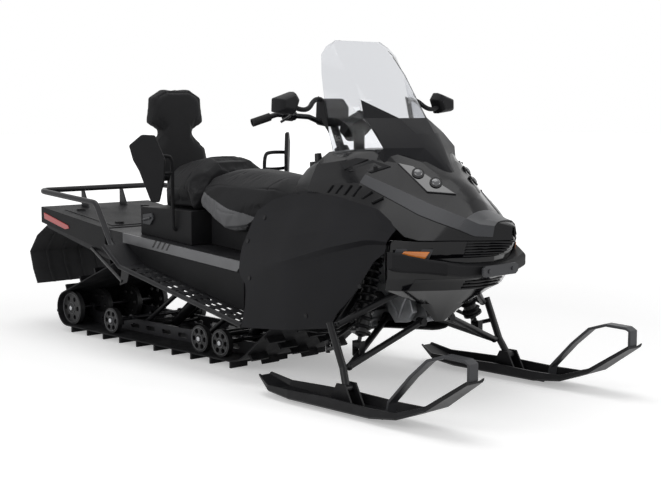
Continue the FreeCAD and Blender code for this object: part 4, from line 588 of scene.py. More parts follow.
def split_by(mesh: Mesh, start: Vector, end: Vector, along: Vector) -> None:
    """Add an edge to a surface where a plane through a line cuts it."""
    bmesh.ops.bisect_plane(mesh, geom=everything(mesh), dist=1e-6, plane_co=start,
                           plane_no=(end - start).cross(along).normalized())


def inside(across: float, up: float, outline: Outline) -> bool:
    """Whether a flat point lies inside an outline."""
    count = 0
    for (first_across, first_up), (second_across, second_up) in loop(outline):
        if (first_up > up) != (second_up > up):
            count += across < first_across + (up - first_up) * (second_across - first_across) / (second_up - first_up)
    return count % 2 == 1


def mix(first: Sequence[float], second: Sequence[float], part: float) -> list[float]:
    """Values part of the way from one row of numbers to another."""
    return [low + (high - low) * part for low, high in zip(first, second)]


@dataclass(frozen=True)
class FrontBody:
    """Sizes of the front body, and the points that its tables of shares give."""

    firewall: float = 0.400
    reach: float = 1.000
    half: float = 0.470
    height: float = 1.000

    def at(self, share_x: float, share_z: float, share_y: float = 0.0) -> Vector:
        """Point at shares of reach, height and half width."""
        return vec(self.firewall + self.reach * share_x, self.half * share_y, self.height * share_z)

    def rows(self, table: Sequence[Row]) -> list[list[Vector]]:
        """Right-hand points of each row, from low outside to high inside."""
        return [[self.at(share_x, share_z, -share_y) for share_y, share_z in line] for share_x, line in table]

    @staticmethod
    def whole(row: Sequence[Vector]) -> list[Vector]:
        """A right-hand row carried on to the left-hand edge."""
        return [*row, *(vec(point.x, -point.y, point.z) for point in reversed(row[:-1]))]


BODY_FRAME = FrontBody()

HOOD_ROWS: tuple[Row, ...] = (
    (0.22, ((0.7298, 0.812), (0.7234, 0.842), (0.7064, 0.868), (0.6383, 0.925), (0.4894, 0.975), (0.0, 0.985))),
    (0.36, ((0.7404, 0.8), (0.7191, 0.856), (0.6851, 0.882), (0.6, 0.946), (0.4851, 0.985), (0.0, 0.99))),
    (0.485, ((0.7383, 0.785), (0.6809, 0.862), (0.617, 0.893), (0.4787, 0.95), (0.4362, 0.99), (0.0, 1.0))),
    (0.55, ((0.7234, 0.772), (0.6319, 0.83), (0.5574, 0.866), (0.3872, 0.94), (0.3191, 0.965), (0.0, 0.975))),
    (0.61, ((0.7043, 0.757), (0.5851, 0.8), (0.4894, 0.838), (0.2979, 0.922), (0.2128, 0.94), (0.0, 0.948))),
    (0.66, ((0.6936, 0.715), (0.5447, 0.775), (0.434, 0.814), (0.2511, 0.888), (0.1489, 0.905), (0.0, 0.912))),
    (0.715, ((0.6596, 0.668), (0.5021, 0.747), (0.3723, 0.787), (0.1979, 0.851), (0.1021, 0.872), (0.0, 0.88))),
    (0.765, ((0.6106, 0.655), (0.4383, 0.725), (0.3128, 0.766), (0.1489, 0.817), (0.0809, 0.838), (0.0, 0.846))),
    (0.805, ((0.5319, 0.6544), (0.3787, 0.708), (0.266, 0.749), (0.1319, 0.785), (0.0702, 0.8), (0.0, 0.806))),
    (0.845, ((0.3936, 0.6536), (0.3191, 0.692), (0.2191, 0.732), (0.1277, 0.748), (0.0638, 0.755), (0.0, 0.757))),
    (0.9, ((0.2638, 0.653), (0.2511, 0.668), (0.1957, 0.712), (0.1234, 0.727), (0.0596, 0.731), (0.0, 0.732))),
    (0.95, ((0.1574, 0.654), (0.1489, 0.666), (0.1277, 0.706), (0.0894, 0.72), (0.0426, 0.723), (0.0, 0.724))),
    (0.995, ((0.0298, 0.655), (0.0277, 0.664), (0.0213, 0.69), (0.0149, 0.703), (0.0064, 0.707), (0.0, 0.708))),
)


@dataclass
class Hood:
    """Hood with its pale band, intake covers, louvre fins and headlights.

    Attributes:
        panel_wall: Wall of the hood.
        band: First and last row of the pale band at the sides.
        band_rise: How far the band stands on the hood.
        fin_count: Number of fins on each side.
        fin_start: Share of reach where the first fin starts.
        fin_pitch: Share of reach from fin to fin.
        fin_lean: How far a fin's top lies ahead of its foot.
        fin_size: Width and height of a fin.
        fin_span: Where a fin starts and ends between the two lowest creases.
        lamp_corners: Corners of the right lamp's face, as shares of reach, height and half width.
        lens_proud: How far the lens stands out of the lamp's face.
        lens_depth: Depth of the lens.
        pocket_depth: How near to the face the hood is cut open.
        projector: Radius of a projector.
        intakes: Corners of the intake covers: place along the body, and crease that they lie at.
        intake_rise: How far the covers stand out.
        knob: Place of the knob on the cover.
        core: Point behind the hood's skin.
    """

    panel_wall: float = 0.005
    band: tuple[int, int] = (2, 9)
    band_rise: float = 0.003
    fin_count: int = 6
    fin_start: float = 0.325
    fin_pitch: float = 0.046
    fin_lean: float = 0.026
    fin_size: tuple[float, float] = (0.009, 0.009)
    fin_span: tuple[float, float] = (0.3, 0.88)
    lamp_corners: tuple[Point, ...] = ((0.555, 0.935, 0.385), (0.61, 0.922, 0.298), (0.765, 0.817, 0.149),
                                       (0.69, 0.826, 0.33))
    lens_proud: float = 0.007
    lens_depth: float = 0.025
    pocket_depth: float = 0.08
    projector: float = 0.025
    intakes: tuple[Outline, ...] = (((0.800, 2.25), (0.900, 2.2), (0.945, 2.75), (0.870, 2.95)),
                                    ((0.780, 2.35), (0.855, 3.0), (0.80, 3.15), (0.745, 2.8)))
    intake_rise: float = 0.006
    knob: tuple[float, float] = (0.905, 2.45)
    core: Point = (0.95, 0.0, 0.55)

    def lamp_face(self) -> tuple[list[Vector], Vector]:
        """Corners of the right headlight's face and its outward normal."""
        first, second, third, fourth = (BODY_FRAME.at(share_x, share_z, -share_y)
                                        for share_x, share_z, share_y in self.lamp_corners)
        normal = facing((fourth - first).cross(third - first).normalized(), AHEAD)
        second.x += (first - second).dot(normal) / normal.x
        return [first, second, third, fourth], normal

    def open_pockets(self, mesh: Mesh) -> None:
        """Cut the openings for both headlights."""
        corners, normal = self.lamp_face()
        for side in (1.0, -1.0):
            flip = vec(1.0, side, 1.0)
            around = [corner * flip for corner in corners]
            out = normal * flip
            middle = sum(around, Vector()) / len(around)
            walls = []
            for first, second in loop(around):
                split_by(mesh, first, second, out)
                walls.append((first, facing((second - first).cross(out), middle - first)))
            covered = [face for face in mesh.faces
                       if all((face.calc_center_median() - place).dot(way) > 0 for place, way in walls)
                       and abs((face.calc_center_median() - middle).dot(out)) < self.pocket_depth]
            bmesh.ops.delete(mesh, geom=covered, context="FACES")

    def on_hood(self, x: float, column: float) -> Vector:
        """Point on the hood's right half at a place along it, at a crease or between two."""
        low = int(column)
        high = min(low + 1, len(HOOD_ROWS[0][1]) - 1)
        rows = BODY_FRAME.rows(HOOD_ROWS)
        for near, far in zip(rows, rows[1:]):
            if x <= far[0].x:
                part = (x - near[0].x) / (far[0].x - near[0].x)
                return near[low].lerp(far[low], part).lerp(near[high].lerp(far[high], part), column - low)
        return rows[-1][low].lerp(rows[-1][high], column - low)

    def fins(self) -> Mesh:
        """Leaning louvre fins on the right skirt."""
        blades = []
        width, height = self.fin_size
        for number in range(self.fin_count):
            x = BODY_FRAME.at(self.fin_start + self.fin_pitch * number, 0).x
            low = self.on_hood(x, self.fin_span[0])
            high = self.on_hood(x + self.fin_lean, self.fin_span[1])
            along = AHEAD * width
            out = facing((high - low).cross(along).normalized(), -LEFT)
            corners = [low, high, high + along, low + along]
            blades.append(prism([corner - out * self.panel_wall / 2 for corner in corners], out * height, 0.0015))
        return joined(blades)

    def intake(self) -> Mesh:
        """Raised intake cover on the right, split by a step, with its knob."""
        covers = []
        for places in self.intakes:
            points = [self.on_hood(x, column) for x, column in places]
            out = facing((points[1] - points[0]).cross(points[3] - points[0]).normalized(), UP)
            covers.append(prism([point - out * self.intake_rise for point in points], out * self.intake_rise * 2,
                                0.0025))
        here = self.on_hood(*self.knob)
        covers.append(rod(here - UP * 0.004, here + vec(0.003, -0.007, 0.014), 0.010, 16, 0.008))
        return joined(covers)

    def headlights(self) -> list[Piece]:
        """Headlights: dark lens, and two ringed projectors on each side."""
        corners, normal = self.lamp_face()
        lens = prism([corner + normal * self.lens_proud for corner in corners], -normal * self.lens_depth, 0.003)
        middle = (corners[0] + corners[2]) / 2 + normal * self.lens_proud
        across = (corners[2] - corners[0]).normalized()
        rings, bulbs = [], []
        for side in (-1.6, 1.6):
            centre = middle + across * (self.projector * side)
            rings.append(rod(centre - normal * 0.002, centre + normal * 0.005, self.projector, 32))
            bulb = bmesh.new()
            bmesh.ops.create_uvsphere(bulb, u_segments=24, v_segments=12, radius=self.projector * 0.72)
            bmesh.ops.scale(bulb, vec=(1.0, 1.0, 0.45), verts=bulb.verts[:])
            bmesh.ops.transform(bulb, matrix=placed(centre + normal * 0.004, normal), verts=bulb.verts[:])
            bulbs.append(bulb)
        return [finish_piece("headlight_lenses", with_twin(lens), LAMP_GLASS, "headlights"),
                finish_piece("headlight_rings", with_twin(joined(rings)), SATIN_BLACK),
                finish_piece("headlight_projectors", with_twin(joined(bulbs)), PROJECTOR)]

    def build(self) -> list[Piece]:
        """Make the hood's pieces."""
        rows = BODY_FRAME.rows(HOOD_ROWS)
        shell = sheet([BODY_FRAME.whole(row) for row in rows], self.core)
        self.open_pockets(shell)
        first, last = self.band
        side = sheet([row[1:3] for row in rows[first:last + 1]], self.core)
        nose = sheet([BODY_FRAME.whole(row[1:]) for row in rows[last:-1]], self.core)
        return [wall_piece("hood_shell", shell, HOOD_FINISH, self.panel_wall, "hood"),
                wall_piece("hood_band", joined([with_twin(side), nose]), GREY_BAND, self.band_rise, crease=30.0,
                           edge=0.001, outward=True),
                finish_piece("intake_panels", with_twin(self.intake()), BLACK_PLASTIC),
                finish_piece("louvre_fins", with_twin(self.fins()), BLACK_PLASTIC), *self.headlights()]


FASCIA_RECESS = ((0.0, 0.9), (0.1596, 0.883), (0.2638, 0.862), (0.383, 0.832), (0.5, 0.8), (0.6064, 0.752),
                 (0.6766, 0.702), (0.7128, 0.65))
FASCIA_ROWS: tuple[Row, ...] = (
    (0.65, ((0.0, 0.998), (0.1596, 0.94), (0.2638, 0.898), (0.383, 0.848), (0.5, 0.816), (0.6064, 0.765),
            (0.6766, 0.712), (0.7128, 0.66))),
    (0.6, ((0.0, 0.94), (0.1596, 0.91), (0.2638, 0.88), (0.383, 0.84), (0.5, 0.808), (0.6064, 0.76), (0.6766, 0.708),
           (0.7128, 0.656))),
    (0.585, FASCIA_RECESS), (0.505, FASCIA_RECESS),
    (0.49, ((0.0, 0.875), (0.1596, 0.862), (0.2638, 0.843), (0.383, 0.815), (0.5, 0.778), (0.6064, 0.74),
            (0.6766, 0.695), (0.7128, 0.645))),
    (0.456, ((0.0, 0.856), (0.1596, 0.84), (0.2638, 0.818), (0.383, 0.79), (0.5, 0.75), (0.6064, 0.712),
             (0.6574, 0.685), (0.7021, 0.635))),
    (0.385, ((0.0, 0.75), (0.0745, 0.735), (0.1277, 0.718), (0.1809, 0.7), (0.234, 0.68), (0.2766, 0.666),
             (0.3085, 0.66), (0.3191, 0.655))),
    (0.3, ((0.0, 0.645), (0.017, 0.643), (0.0319, 0.641), (0.0426, 0.639), (0.0532, 0.637), (0.0638, 0.635),
           (0.0745, 0.633), (0.0851, 0.632))),
)
BUMPER_SECTIONS: tuple[tuple[float, ...], ...] = (
    (0.0, 0.9, 0.93, 0.51, 0.562), (0.1596, 0.883, 0.916, 0.51, 0.562), (0.2638, 0.862, 0.899, 0.511, 0.563),
    (0.383, 0.832, 0.884, 0.515, 0.568), (0.5, 0.8, 0.869, 0.523, 0.578), (0.6064, 0.766, 0.808, 0.53, 0.588),
    (0.6766, 0.716, 0.761, 0.532, 0.598), (0.7128, 0.68, 0.736, 0.533, 0.606), (0.766, 0.672, 0.70, 0.545, 0.61),
)


@dataclass
class Nose:
    """Nose fascia with its slatted grilles, bumper bar, tow plate and side reflectors.

    Attributes:
        fascia_wall: Wall of the fascia.
        slat: Height of a slat.
        slat_rise: How far a slat stands out.
        grilles: Top, foot and half width of each grille as shares, and its number of gaps.
        bevel: Bevel of the bumper bar.
        plate_outline: Outline of the bumper's plate, in y and z.
        bolts: Place across and height of the plate's bolts.
        reflector_span: Shares of height and half width at the reflector's outer and inner end.
        reflector_height: Height of the reflector.
        core: Point behind the fascia.
    """

    fascia_wall: float = 0.010
    slat: float = 0.0042
    slat_rise: float = 0.006
    grilles: tuple[tuple[float, float, float, int], ...] = ((0.648, 0.592, 0.30, 5), (0.489, 0.462, 0.234, 2))
    bevel: float = 0.009
    plate_outline: Outline = ((-0.105, 0.522), (-0.09, 0.512), (0.09, 0.512), (0.105, 0.522), (0.105, 0.547),
                              (0.09, 0.556), (-0.09, 0.556), (-0.105, 0.547))
    bolts: Outline = ((-0.07, 0.534), (0.07, 0.534))
    reflector_span: Outline = ((0.592, 0.69), (0.592, 0.53))
    reflector_height: float = 0.027
    core: Point = (1.0, 0.0, 0.50)

    def plan(self, share_z: float, share_y: float) -> Vector:
        """Point of the fascia at a height, on the right."""
        for (high, upper), (low, lower) in zip(FASCIA_ROWS, FASCIA_ROWS[1:]):
            if share_z >= low:
                part = (high - share_z) / (high - low)
                xs = []
                for line in (upper, lower):
                    (near_y, near_x), (far_y, far_x) = next(pair for pair in zip(line, line[1:])
                                                            if share_y <= pair[1][0])
                    xs.append(near_x + (far_x - near_x) * (share_y - near_y) / (far_y - near_y))
                return BODY_FRAME.at(xs[0] + (xs[1] - xs[0]) * part, share_z, -share_y)
        raise ValueError("height under the fascia")

    def slats(self) -> Mesh:
        """Level slats of both grilles, standing proud of the fascia."""
        bars = []
        rise, half_slat = self.slat_rise, self.slat / 2
        section = ((rise, -half_slat), (rise, half_slat), (-rise, half_slat), (-rise, -half_slat), (rise, -half_slat))
        for top, low, half, count in self.grilles:
            for number in range(count + 1):
                z = low + (top - low) / count * number
                rows = []
                for step in range(-6, 7):
                    share = half * step / 6
                    point = self.plan(z, abs(share))
                    across = BODY_FRAME.half * share
                    rows.append([vec(point.x + forward, across, point.z + up) for forward, up in section])
                bars.append(sheet(rows))
        return joined(bars)

    def bumper(self) -> Mesh:
        """Bumper bar, bevelled in section and turned back at both ends."""
        rows = []
        for share_y, rear_share, front_share, low, top in reversed(BUMPER_SECTIONS):
            rear, front = (BODY_FRAME.at(share, 0).x for share in (rear_share, front_share))
            cut = min(self.bevel, (front - rear) / 3)
            section = [(rear, low), (front - cut, low), (front, low + cut), (front, top - cut), (front - cut, top),
                       (rear, top), (rear, low)]
            rows.append([vec(x, -BODY_FRAME.half * share_y, z) for x, z in section])
        rows += [[vec(point.x, -point.y, point.z) for point in row] for row in reversed(rows[:-1])]
        bar = sheet(rows)
        soften(bar, 0.0025)
        return bar

    def plate(self) -> Mesh:
        """Two-bolt plate on the middle of the bumper."""
        x = BODY_FRAME.at(0.93, 0).x
        base = prism([vec(x - 0.004, y, z) for y, z in self.plate_outline], AHEAD * 0.010, 0.002)
        bolts = [rod(vec(x + 0.004, y, z), vec(x + 0.011, y, z), 0.008, 12) for y, z in self.bolts]
        return joined([base, *bolts])

    def reflector(self) -> tuple[Mesh, Mesh]:
        """Right side reflector and its surround."""
        first, second = (self.plan(*place) for place in self.reflector_span)
        along = second - first
        out = along.cross(UP).normalized()
        up = UP * self.reflector_height

        def plate(start: Vector, shares: Outline, rise: float) -> Mesh:
            """Plate with corners at shares of the reflector's length and height."""
            return prism([start + along * share_x + up * share_z for share_x, share_z in shares], out * rise, 0.0015)

        lens = plate(first + out * 0.010 - up * 0.25, ((0.08, 0.0), (0.88, 0.0), (1.02, 1.0), (0.26, 1.0)), 0.006)
        rim = plate(first + out * 0.005 - up * 0.65, ((-0.12, 0.0), (0.95, 0.0), (1.12, 1.75), (0.02, 1.75)), 0.005)
        return lens, rim

    def build(self) -> list[Piece]:
        """Make the nose's pieces."""
        rows = [BODY_FRAME.whole([BODY_FRAME.at(share_x, share_z, -share_y) for share_y, share_x in reversed(line)])
                for share_z, line in FASCIA_ROWS]
        lens, surround = self.reflector()
        return [wall_piece("fascia_shell", sheet(rows, self.core), GLOSS_BLACK, self.fascia_wall, "nose_fascia"),
                finish_piece("grille_slats", self.slats(), SATIN_BLACK),
                finish_piece("bumper_bar", self.bumper(), BLACK_PLASTIC, "front_bumper", crease=30.0),
                finish_piece("bumper_plate", self.plate(), GREY_BAND),
                finish_piece("amber_reflectors", with_twin(lens), AMBER_LENS),
                finish_piece("reflector_surrounds", with_twin(surround), GREY_BAND)]


SCREEN_ROWS: tuple[Row, ...] = (
    (1.0, ((0.52, 0.0124), (0.46, 0.0071), (0.392, 0.0036), (0.2, 0.0), (0.0, 0.0))),
    (0.9537, ((0.74, 0.0124), (0.66, 0.0195), (0.6, 0.0302), (0.3, 0.0391), (0.0, 0.0426))),
    (0.8913, ((0.888, 0.0302), (0.78, 0.0586), (0.652, 0.0941), (0.32, 0.1048), (0.0, 0.1083))),
    (0.7487, ((0.98, 0.0764), (0.82, 0.1474), (0.664, 0.2185), (0.328, 0.2433), (0.0, 0.2504))),
    (0.5615, ((1.008, 0.119), (0.82, 0.2575), (0.672, 0.3428), (0.336, 0.4085), (0.0, 0.4174))),
    (0.4314, ((1.02, 0.1368), (0.76, 0.3996), (0.5, 0.5062), (0.324, 0.5737), (0.0, 0.5773))),
    (0.3209, ((1.016, 0.1687), (0.784, 0.5595), (0.34, 0.6838), (0.22, 0.698), (0.0, 0.7052))),
    (0.2228, ((1.0, 0.1954), (0.848, 0.6448), (0.24, 0.7815), (0.16, 0.794), (0.0, 0.7993))),
    (0.107, ((0.984, 0.2185), (0.856, 0.6572), (0.14, 0.8881), (0.08, 0.9005), (0.0, 0.9059))),
    (0.0, ((0.968, 0.2398), (0.856, 0.6661), (0.08, 0.9822), (0.04, 0.9929), (0.0, 1.0))),
)


@dataclass
class Windshield:
    """Clear windshield with its opaque base, and the mirrors at its edges.

    Attributes:
        foot: Height of the lowest level.
        top: Height of the upper edge.
        top_x: Place of the upper edge.
        nose_x: Place of the foremost point.
        half: Half width that the shares refer to.
        thickness: Thickness of the clear sheet.
        base_wall: Wall of the opaque base.
        base_edge: Upper edge of the base, in y and z.
        mirror_place: Middle of the right mirror, with its distance from the centre plane.
        mirror_size: Depth, width and height of a mirror.
        mirror_outline: Shares of width and height round a mirror.
        mirror_steps: Share of depth and size of each section of the housing.
        bracket_levels: Levels of the windshield between which the mirror's plate sits.
        core: Point behind the windshield.
    """

    foot: float = 0.870
    top: float = 1.431
    top_x: float = 0.545
    nose_x: float = 1.108
    half: float = 0.250
    thickness: float = 0.004
    base_wall: float = 0.006
    base_edge: Outline = ((0.245, 0.82), (0.212, 0.995), (0.168, 1.185), (0.081, 1.112))
    mirror_place: Point = (0.622, 0.462, 1.172)
    mirror_size: Point = (0.060, 0.122, 0.092)
    mirror_outline: Outline = ((0.0, 0.12), (0.02, 0.7), (0.8, 1.0), (1.0, 0.66), (0.78, 0.0))
    mirror_steps: Outline = ((0.0, 1.0), (0.45, 1.0), (0.8, 0.84), (1.0, 0.56))
    bracket_levels: tuple[int, int] = (4, 6)
    core: Point = (0.60, 0.0, 1.0)

    def row(self, share_z: float, line: Outline) -> list[Vector]:
        """One level of the windshield, from the right edge to the left edge."""
        z = self.foot + (self.top - self.foot) * share_z
        return BODY_FRAME.whole([vec(self.top_x + (self.nose_x - self.top_x) * share_x, -self.half * share_y, z)
                                 for share_y, share_x in line])

    def part(self, opaque: bool) -> Mesh:
        """The opaque base or the clear sheet."""
        mesh = sheet([self.row(share_z, line) for share_z, line in SCREEN_ROWS], self.core)
        for side in (1.0, -1.0):
            corners = [vec(0.0, side * y, z) for y, z in (*self.base_edge, (0.0, self.base_edge[-1][1]))]
            for first, second in zip(corners, corners[1:]):
                split_by(mesh, first, second, AHEAD)
        outline = [*((-y, z) for y, z in self.base_edge), *((y, z) for y, z in reversed(self.base_edge))]
        other = [face for face in mesh.faces if inside(*face.calc_center_median().yz, outline) != opaque]
        bmesh.ops.delete(mesh, geom=other, context="FACES")
        return mesh

    def mirror(self) -> tuple[Mesh, Mesh]:
        """Right mirror housing with its arm and plate, and its glass."""
        depth, width, height = self.mirror_size
        x, y, z = self.mirror_place
        low = vec(x - depth / 2, -y - width / 2, z - height / 2)
        centre = vec(0.0, width / 2, height / 2)

        def section(away: float, size: float) -> list[Vector]:
            """Outline of the mirror at a depth, scaled about its middle."""
            return [low + AHEAD * away + centre + (vec(0.0, width * share_y, height * share_z) - centre) * size
                    for share_y, share_z in self.mirror_outline]

        rings = [section(depth * share, size) for share, size in self.mirror_steps]
        housing = sheet([[*points, points[0]] for points in rings])
        soften(housing, 0.005, segments=3)
        glass = prism(section(0.0, 0.86), AHEAD * -0.002)
        edge_y = -self.half * 1.02
        first, second = (self.row(*SCREEN_ROWS[level])[0] for level in self.bracket_levels)
        reach = depth * 0.5
        outline = ((second.x - reach, (second.z * 2 + first.z) / 3), (second.x + 0.006, second.z),
                   (first.x + 0.006, first.z), (first.x - reach, first.z + reach / 2))
        plate = upright(outline, edge_y - 0.005, 0.004, 0.001)
        arm = tube([vec(x, -y + width * 0.35, z - height * 0.2), vec(x + 0.01, -y + width * 0.8, z - height * 0.42),
                    vec(first.x - 0.01, edge_y - 0.04, first.z + 0.01), vec(first.x - reach / 2, edge_y, first.z)],
                   0.010)
        return joined([housing, plate, arm]), glass

    def build(self) -> list[Piece]:
        """Make the windshield's pieces."""
        housing, glass = self.mirror()
        return [wall_piece("windshield_sheet", self.part(False), SCREEN, self.thickness, "windshield", crease=60.0,
                           edge=0.0008),
                wall_piece("windshield_foot", self.part(True), BODY_PLASTIC, self.base_wall, "windshield_base",
                           crease=24.0),
                finish_piece("mirror_housings", with_twin(housing), BLACK_PLASTIC, "mirrors"),
                finish_piece("mirror_glass", with_twin(glass), MIRROR_FACE)]


PANEL_ROWS: tuple[Row, ...] = (
    (-0.12, ((1.0, 0.235), (0.9681, 0.4), (0.9426, 0.468), (0.9021, 0.578), (0.8085, 0.75))),
    (0.2, ((0.9574, 0.25), (0.9511, 0.525), (0.9617, 0.545), (0.9043, 0.64), (0.734, 0.822))),
    (0.422, ((0.8936, 0.28), (0.8894, 0.59), (0.9234, 0.612), (0.8617, 0.69), (0.7468, 0.802))),
    (0.605, ((0.8191, 0.49), (0.8043, 0.636), (0.8468, 0.655), (0.7915, 0.7), (0.7149, 0.766))),
    (0.695, ((0.7489, 0.59), (0.7277, 0.632), (0.7447, 0.645), (0.7191, 0.672), (0.6766, 0.694))),
)


@dataclass
class SidePanels:
    """Side panels from the foot wells to the nose corners, with their fasteners.

    Attributes:
        rear_edge: Shares of reach and height up the rear edge.
        front_edge: Shares of reach and height along the low edge and up the front.
        columns: Strips along the panel.
        panel_wall: Wall of the panel.
        fasteners: Shares of reach and height where fasteners sit.
        slot_half: Half length and half width of a fastener's slot.
        core: Point behind the right panel.
    """

    rear_edge: Outline = ((-0.068, 0.241), (-0.05, 0.33), (-0.046, 0.394), (-0.09, 0.45), (-0.108, 0.48),
                          (-0.112, 0.53), (-0.108, 0.574), (-0.069, 0.691), (-0.053, 0.727), (0.028, 0.777),
                          (0.149, 0.816))
    front_edge: Outline = ((-0.068, 0.241), (0.422, 0.292), (0.45, 0.35), (0.53, 0.405), (0.66, 0.605), (0.687, 0.692),
                           (0.66, 0.722), (0.605, 0.763), (0.417, 0.798), (0.3, 0.81), (0.149, 0.816))
    columns: int = 18
    panel_wall: float = 0.005
    fasteners: Outline = ((-0.075, 0.60), (-0.03, 0.45), (0.0, 0.70), (0.30, 0.33), (0.56, 0.47))
    slot_half: tuple[float, float] = (0.006, 0.001)
    core: Point = (0.60, 0.0, 0.50)

    def line(self, share_x: float) -> list[list[float]]:
        """Shares of half width and height across the panel at a place along it."""
        (near, first), (far, second) = next(pair for pair in zip(PANEL_ROWS, PANEL_ROWS[1:])
                                            if share_x <= pair[1][0] or pair[1] is PANEL_ROWS[-1])
        return [mix(low, high, (share_x - near) / (far - near)) for low, high in zip(first, second)]

    def place(self, share_x: float, across: float) -> Vector:
        """Point of the right panel at a place along and across it."""
        line = self.line(share_x)
        index = min(int(across), len(line) - 2)
        share_y, share_z = mix(line[index], line[index + 1], across - index)
        return BODY_FRAME.at(share_x, share_z, -share_y)

    def across(self, share_x: float, share_z: float) -> float:
        """How far across the panel a height lies."""
        line = self.line(share_x)
        if share_z <= line[0][1]:
            return 0.0
        for index, (low, high) in enumerate(zip(line, line[1:])):
            if share_z <= high[1]:
                return index + (share_z - low[1]) / (high[1] - low[1])
        return float(len(line) - 1)

    def chain(self, edge: Outline) -> list[tuple[float, float]]:
        """An edge as places across and along the panel, never turning back."""
        steps, highest = [], 0.0
        for share_x, share_z in edge:
            highest = max(highest + 1e-4, self.across(share_x, share_z))
            steps.append((highest, share_x))
        return steps

    @staticmethod
    def along(steps: Sequence[tuple[float, float]], across: float) -> float:
        """Place along the panel where an edge passes a place across it."""
        for (near, first), (far, second) in zip(steps, steps[1:]):
            if across <= far:
                return first + (second - first) * max(0.0, across - near) / (far - near)
        return steps[-1][1]

    def skin(self) -> Mesh:
        """Outer face of the right panel."""
        rear, front = self.chain(self.rear_edge), self.chain(self.front_edge)
        low, high = min(rear[0][0], front[0][0]), min(rear[-1][0], front[-1][0])
        levels = sorted({low, high, *(across for across, _ in (*rear, *front) if low < across < high), 1.0, 2.0, 3.0})
        rows = []
        for level in levels:
            start, end = self.along(rear, level), self.along(front, level)
            rows.append([self.place(start + (end - start) * step / self.columns, level)
                         for step in range(self.columns + 1)])
        return sheet(rows, self.core)

    def studs(self) -> Mesh:
        """Quarter-turn fasteners of the right panel."""
        heads = []
        long, short = self.slot_half
        for share_x, share_z in self.fasteners:
            across = self.across(share_x, share_z)
            here = self.place(share_x, across)
            ahead, above = self.place(share_x + 0.01, across) - here, self.place(share_x, across + 0.05) - here
            out = facing(ahead.cross(above).normalized(), -LEFT)
            slot = [here + out * 0.0031 + vec(x, 0.0, z)
                    for x, z in ((-long, -short), (long, -short), (long, short), (-long, short))]
            heads += [rod(here - out * 0.002, here + out * 0.003, 0.009), prism(slot, out * 0.0008)]
        return joined(heads)

    def build(self) -> list[Piece]:
        """Make both panels and their fasteners."""
        right = self.skin()
        left = right.copy()
        bmesh.ops.scale(left, vec=(1.0, -1.0, 1.0), verts=left.verts[:])
        bmesh.ops.reverse_faces(left, faces=left.faces[:])
        panels = [wall_piece(f"side_panel_{name}_skin", mesh, BODY_PLASTIC, self.panel_wall, f"side_panel_{name}",
                             crease=22.0, edge=0.0025) for name, mesh in (("right", right), ("left", left))]
        return [*panels, finish_piece("panel_fasteners", with_twin(self.studs()), SATIN_BLACK)]


def ring(centre: Vector, radius: float, wire: float, sides: int) -> Mesh:
    """Thin ring round an axle that runs across the machine."""
    mesh = bmesh.new()
    bmesh.ops.create_circle(mesh, segments=8, radius=wire, matrix=Matrix.Translation(centre + AHEAD * radius))
    bmesh.ops.spin(mesh, geom=mesh.verts[:] + mesh.edges[:], cent=centre, axis=LEFT, angle=math.tau, steps=sides,
                   use_merge=True)
    return close_up(mesh)


@dataclass
class SkidTrim:
    """Bright rims and hub caps of the wheels in the track.

    Attributes:
        outer_y: Distance of the rims from the centre plane.
        wheels: Place, height and radius of each wheel.
        rim_inset: How far the outer rim lies inside the tyre.
        hub_share: Radius of the inner rim as a share of the wheel's.
        wire: Radius of the rims' section.
    """

    outer_y: float = 0.2755
    wheels: tuple[Point, ...] = ((-1.263, 0.123, 0.085), (-0.907, 0.100, 0.062), (-0.199, 0.100, 0.062),
                                 (-0.047, 0.100, 0.062))
    rim_inset: float = 0.010
    hub_share: float = 0.34
    wire: float = 0.0022

    def build(self) -> list[Piece]:
        """Make the rims and caps."""
        rims, caps = [], []
        for x, z, radius in self.wheels:
            hub = vec(x, -self.outer_y, z)
            rims.append(ring(hub, radius - self.rim_inset, self.wire, 40))
            rims.append(ring(hub, radius * self.hub_share, self.wire, 24))
            caps.append(rod(hub + LEFT * 0.004, hub - LEFT * 0.007, 0.014, 6, 0.012))
        return [finish_piece("wheel_rims", with_twin(joined(rims)), WHEEL_RIM),
                finish_piece("axle_bolts", with_twin(joined(caps)), BRIGHT_METAL)]


@dataclass
class FrontCastings:
    """Grey castings of the front frame, under the bulkhead's wings."""

    outline: Outline = ((0.835, 0.425), (0.975, 0.425), (1.0, 0.345), (0.965, 0.300), (0.90, 0.292), (0.862, 0.335))
    inner: float = 0.105
    width: float = 0.030

    def build(self) -> list[Piece]:
        """Make the castings with two ribs on each."""
        parts = [upright(self.outline, -self.inner, -self.width, 0.005, 3)]
        middle_x, middle_z = (sum(values) / len(self.outline) for values in zip(*self.outline))
        face = -self.inner - self.width
        for x, z in self.outline[:2]:
            parts.append(tube([vec(x, face, z - 0.012), vec((x + middle_x) / 2, face - 0.003, (z + middle_z) / 2),
                               vec(middle_x, face, middle_z - 0.04)], 0.006))
        return [finish_piece("front_castings", with_twin(joined(parts)), CAST_METAL)]


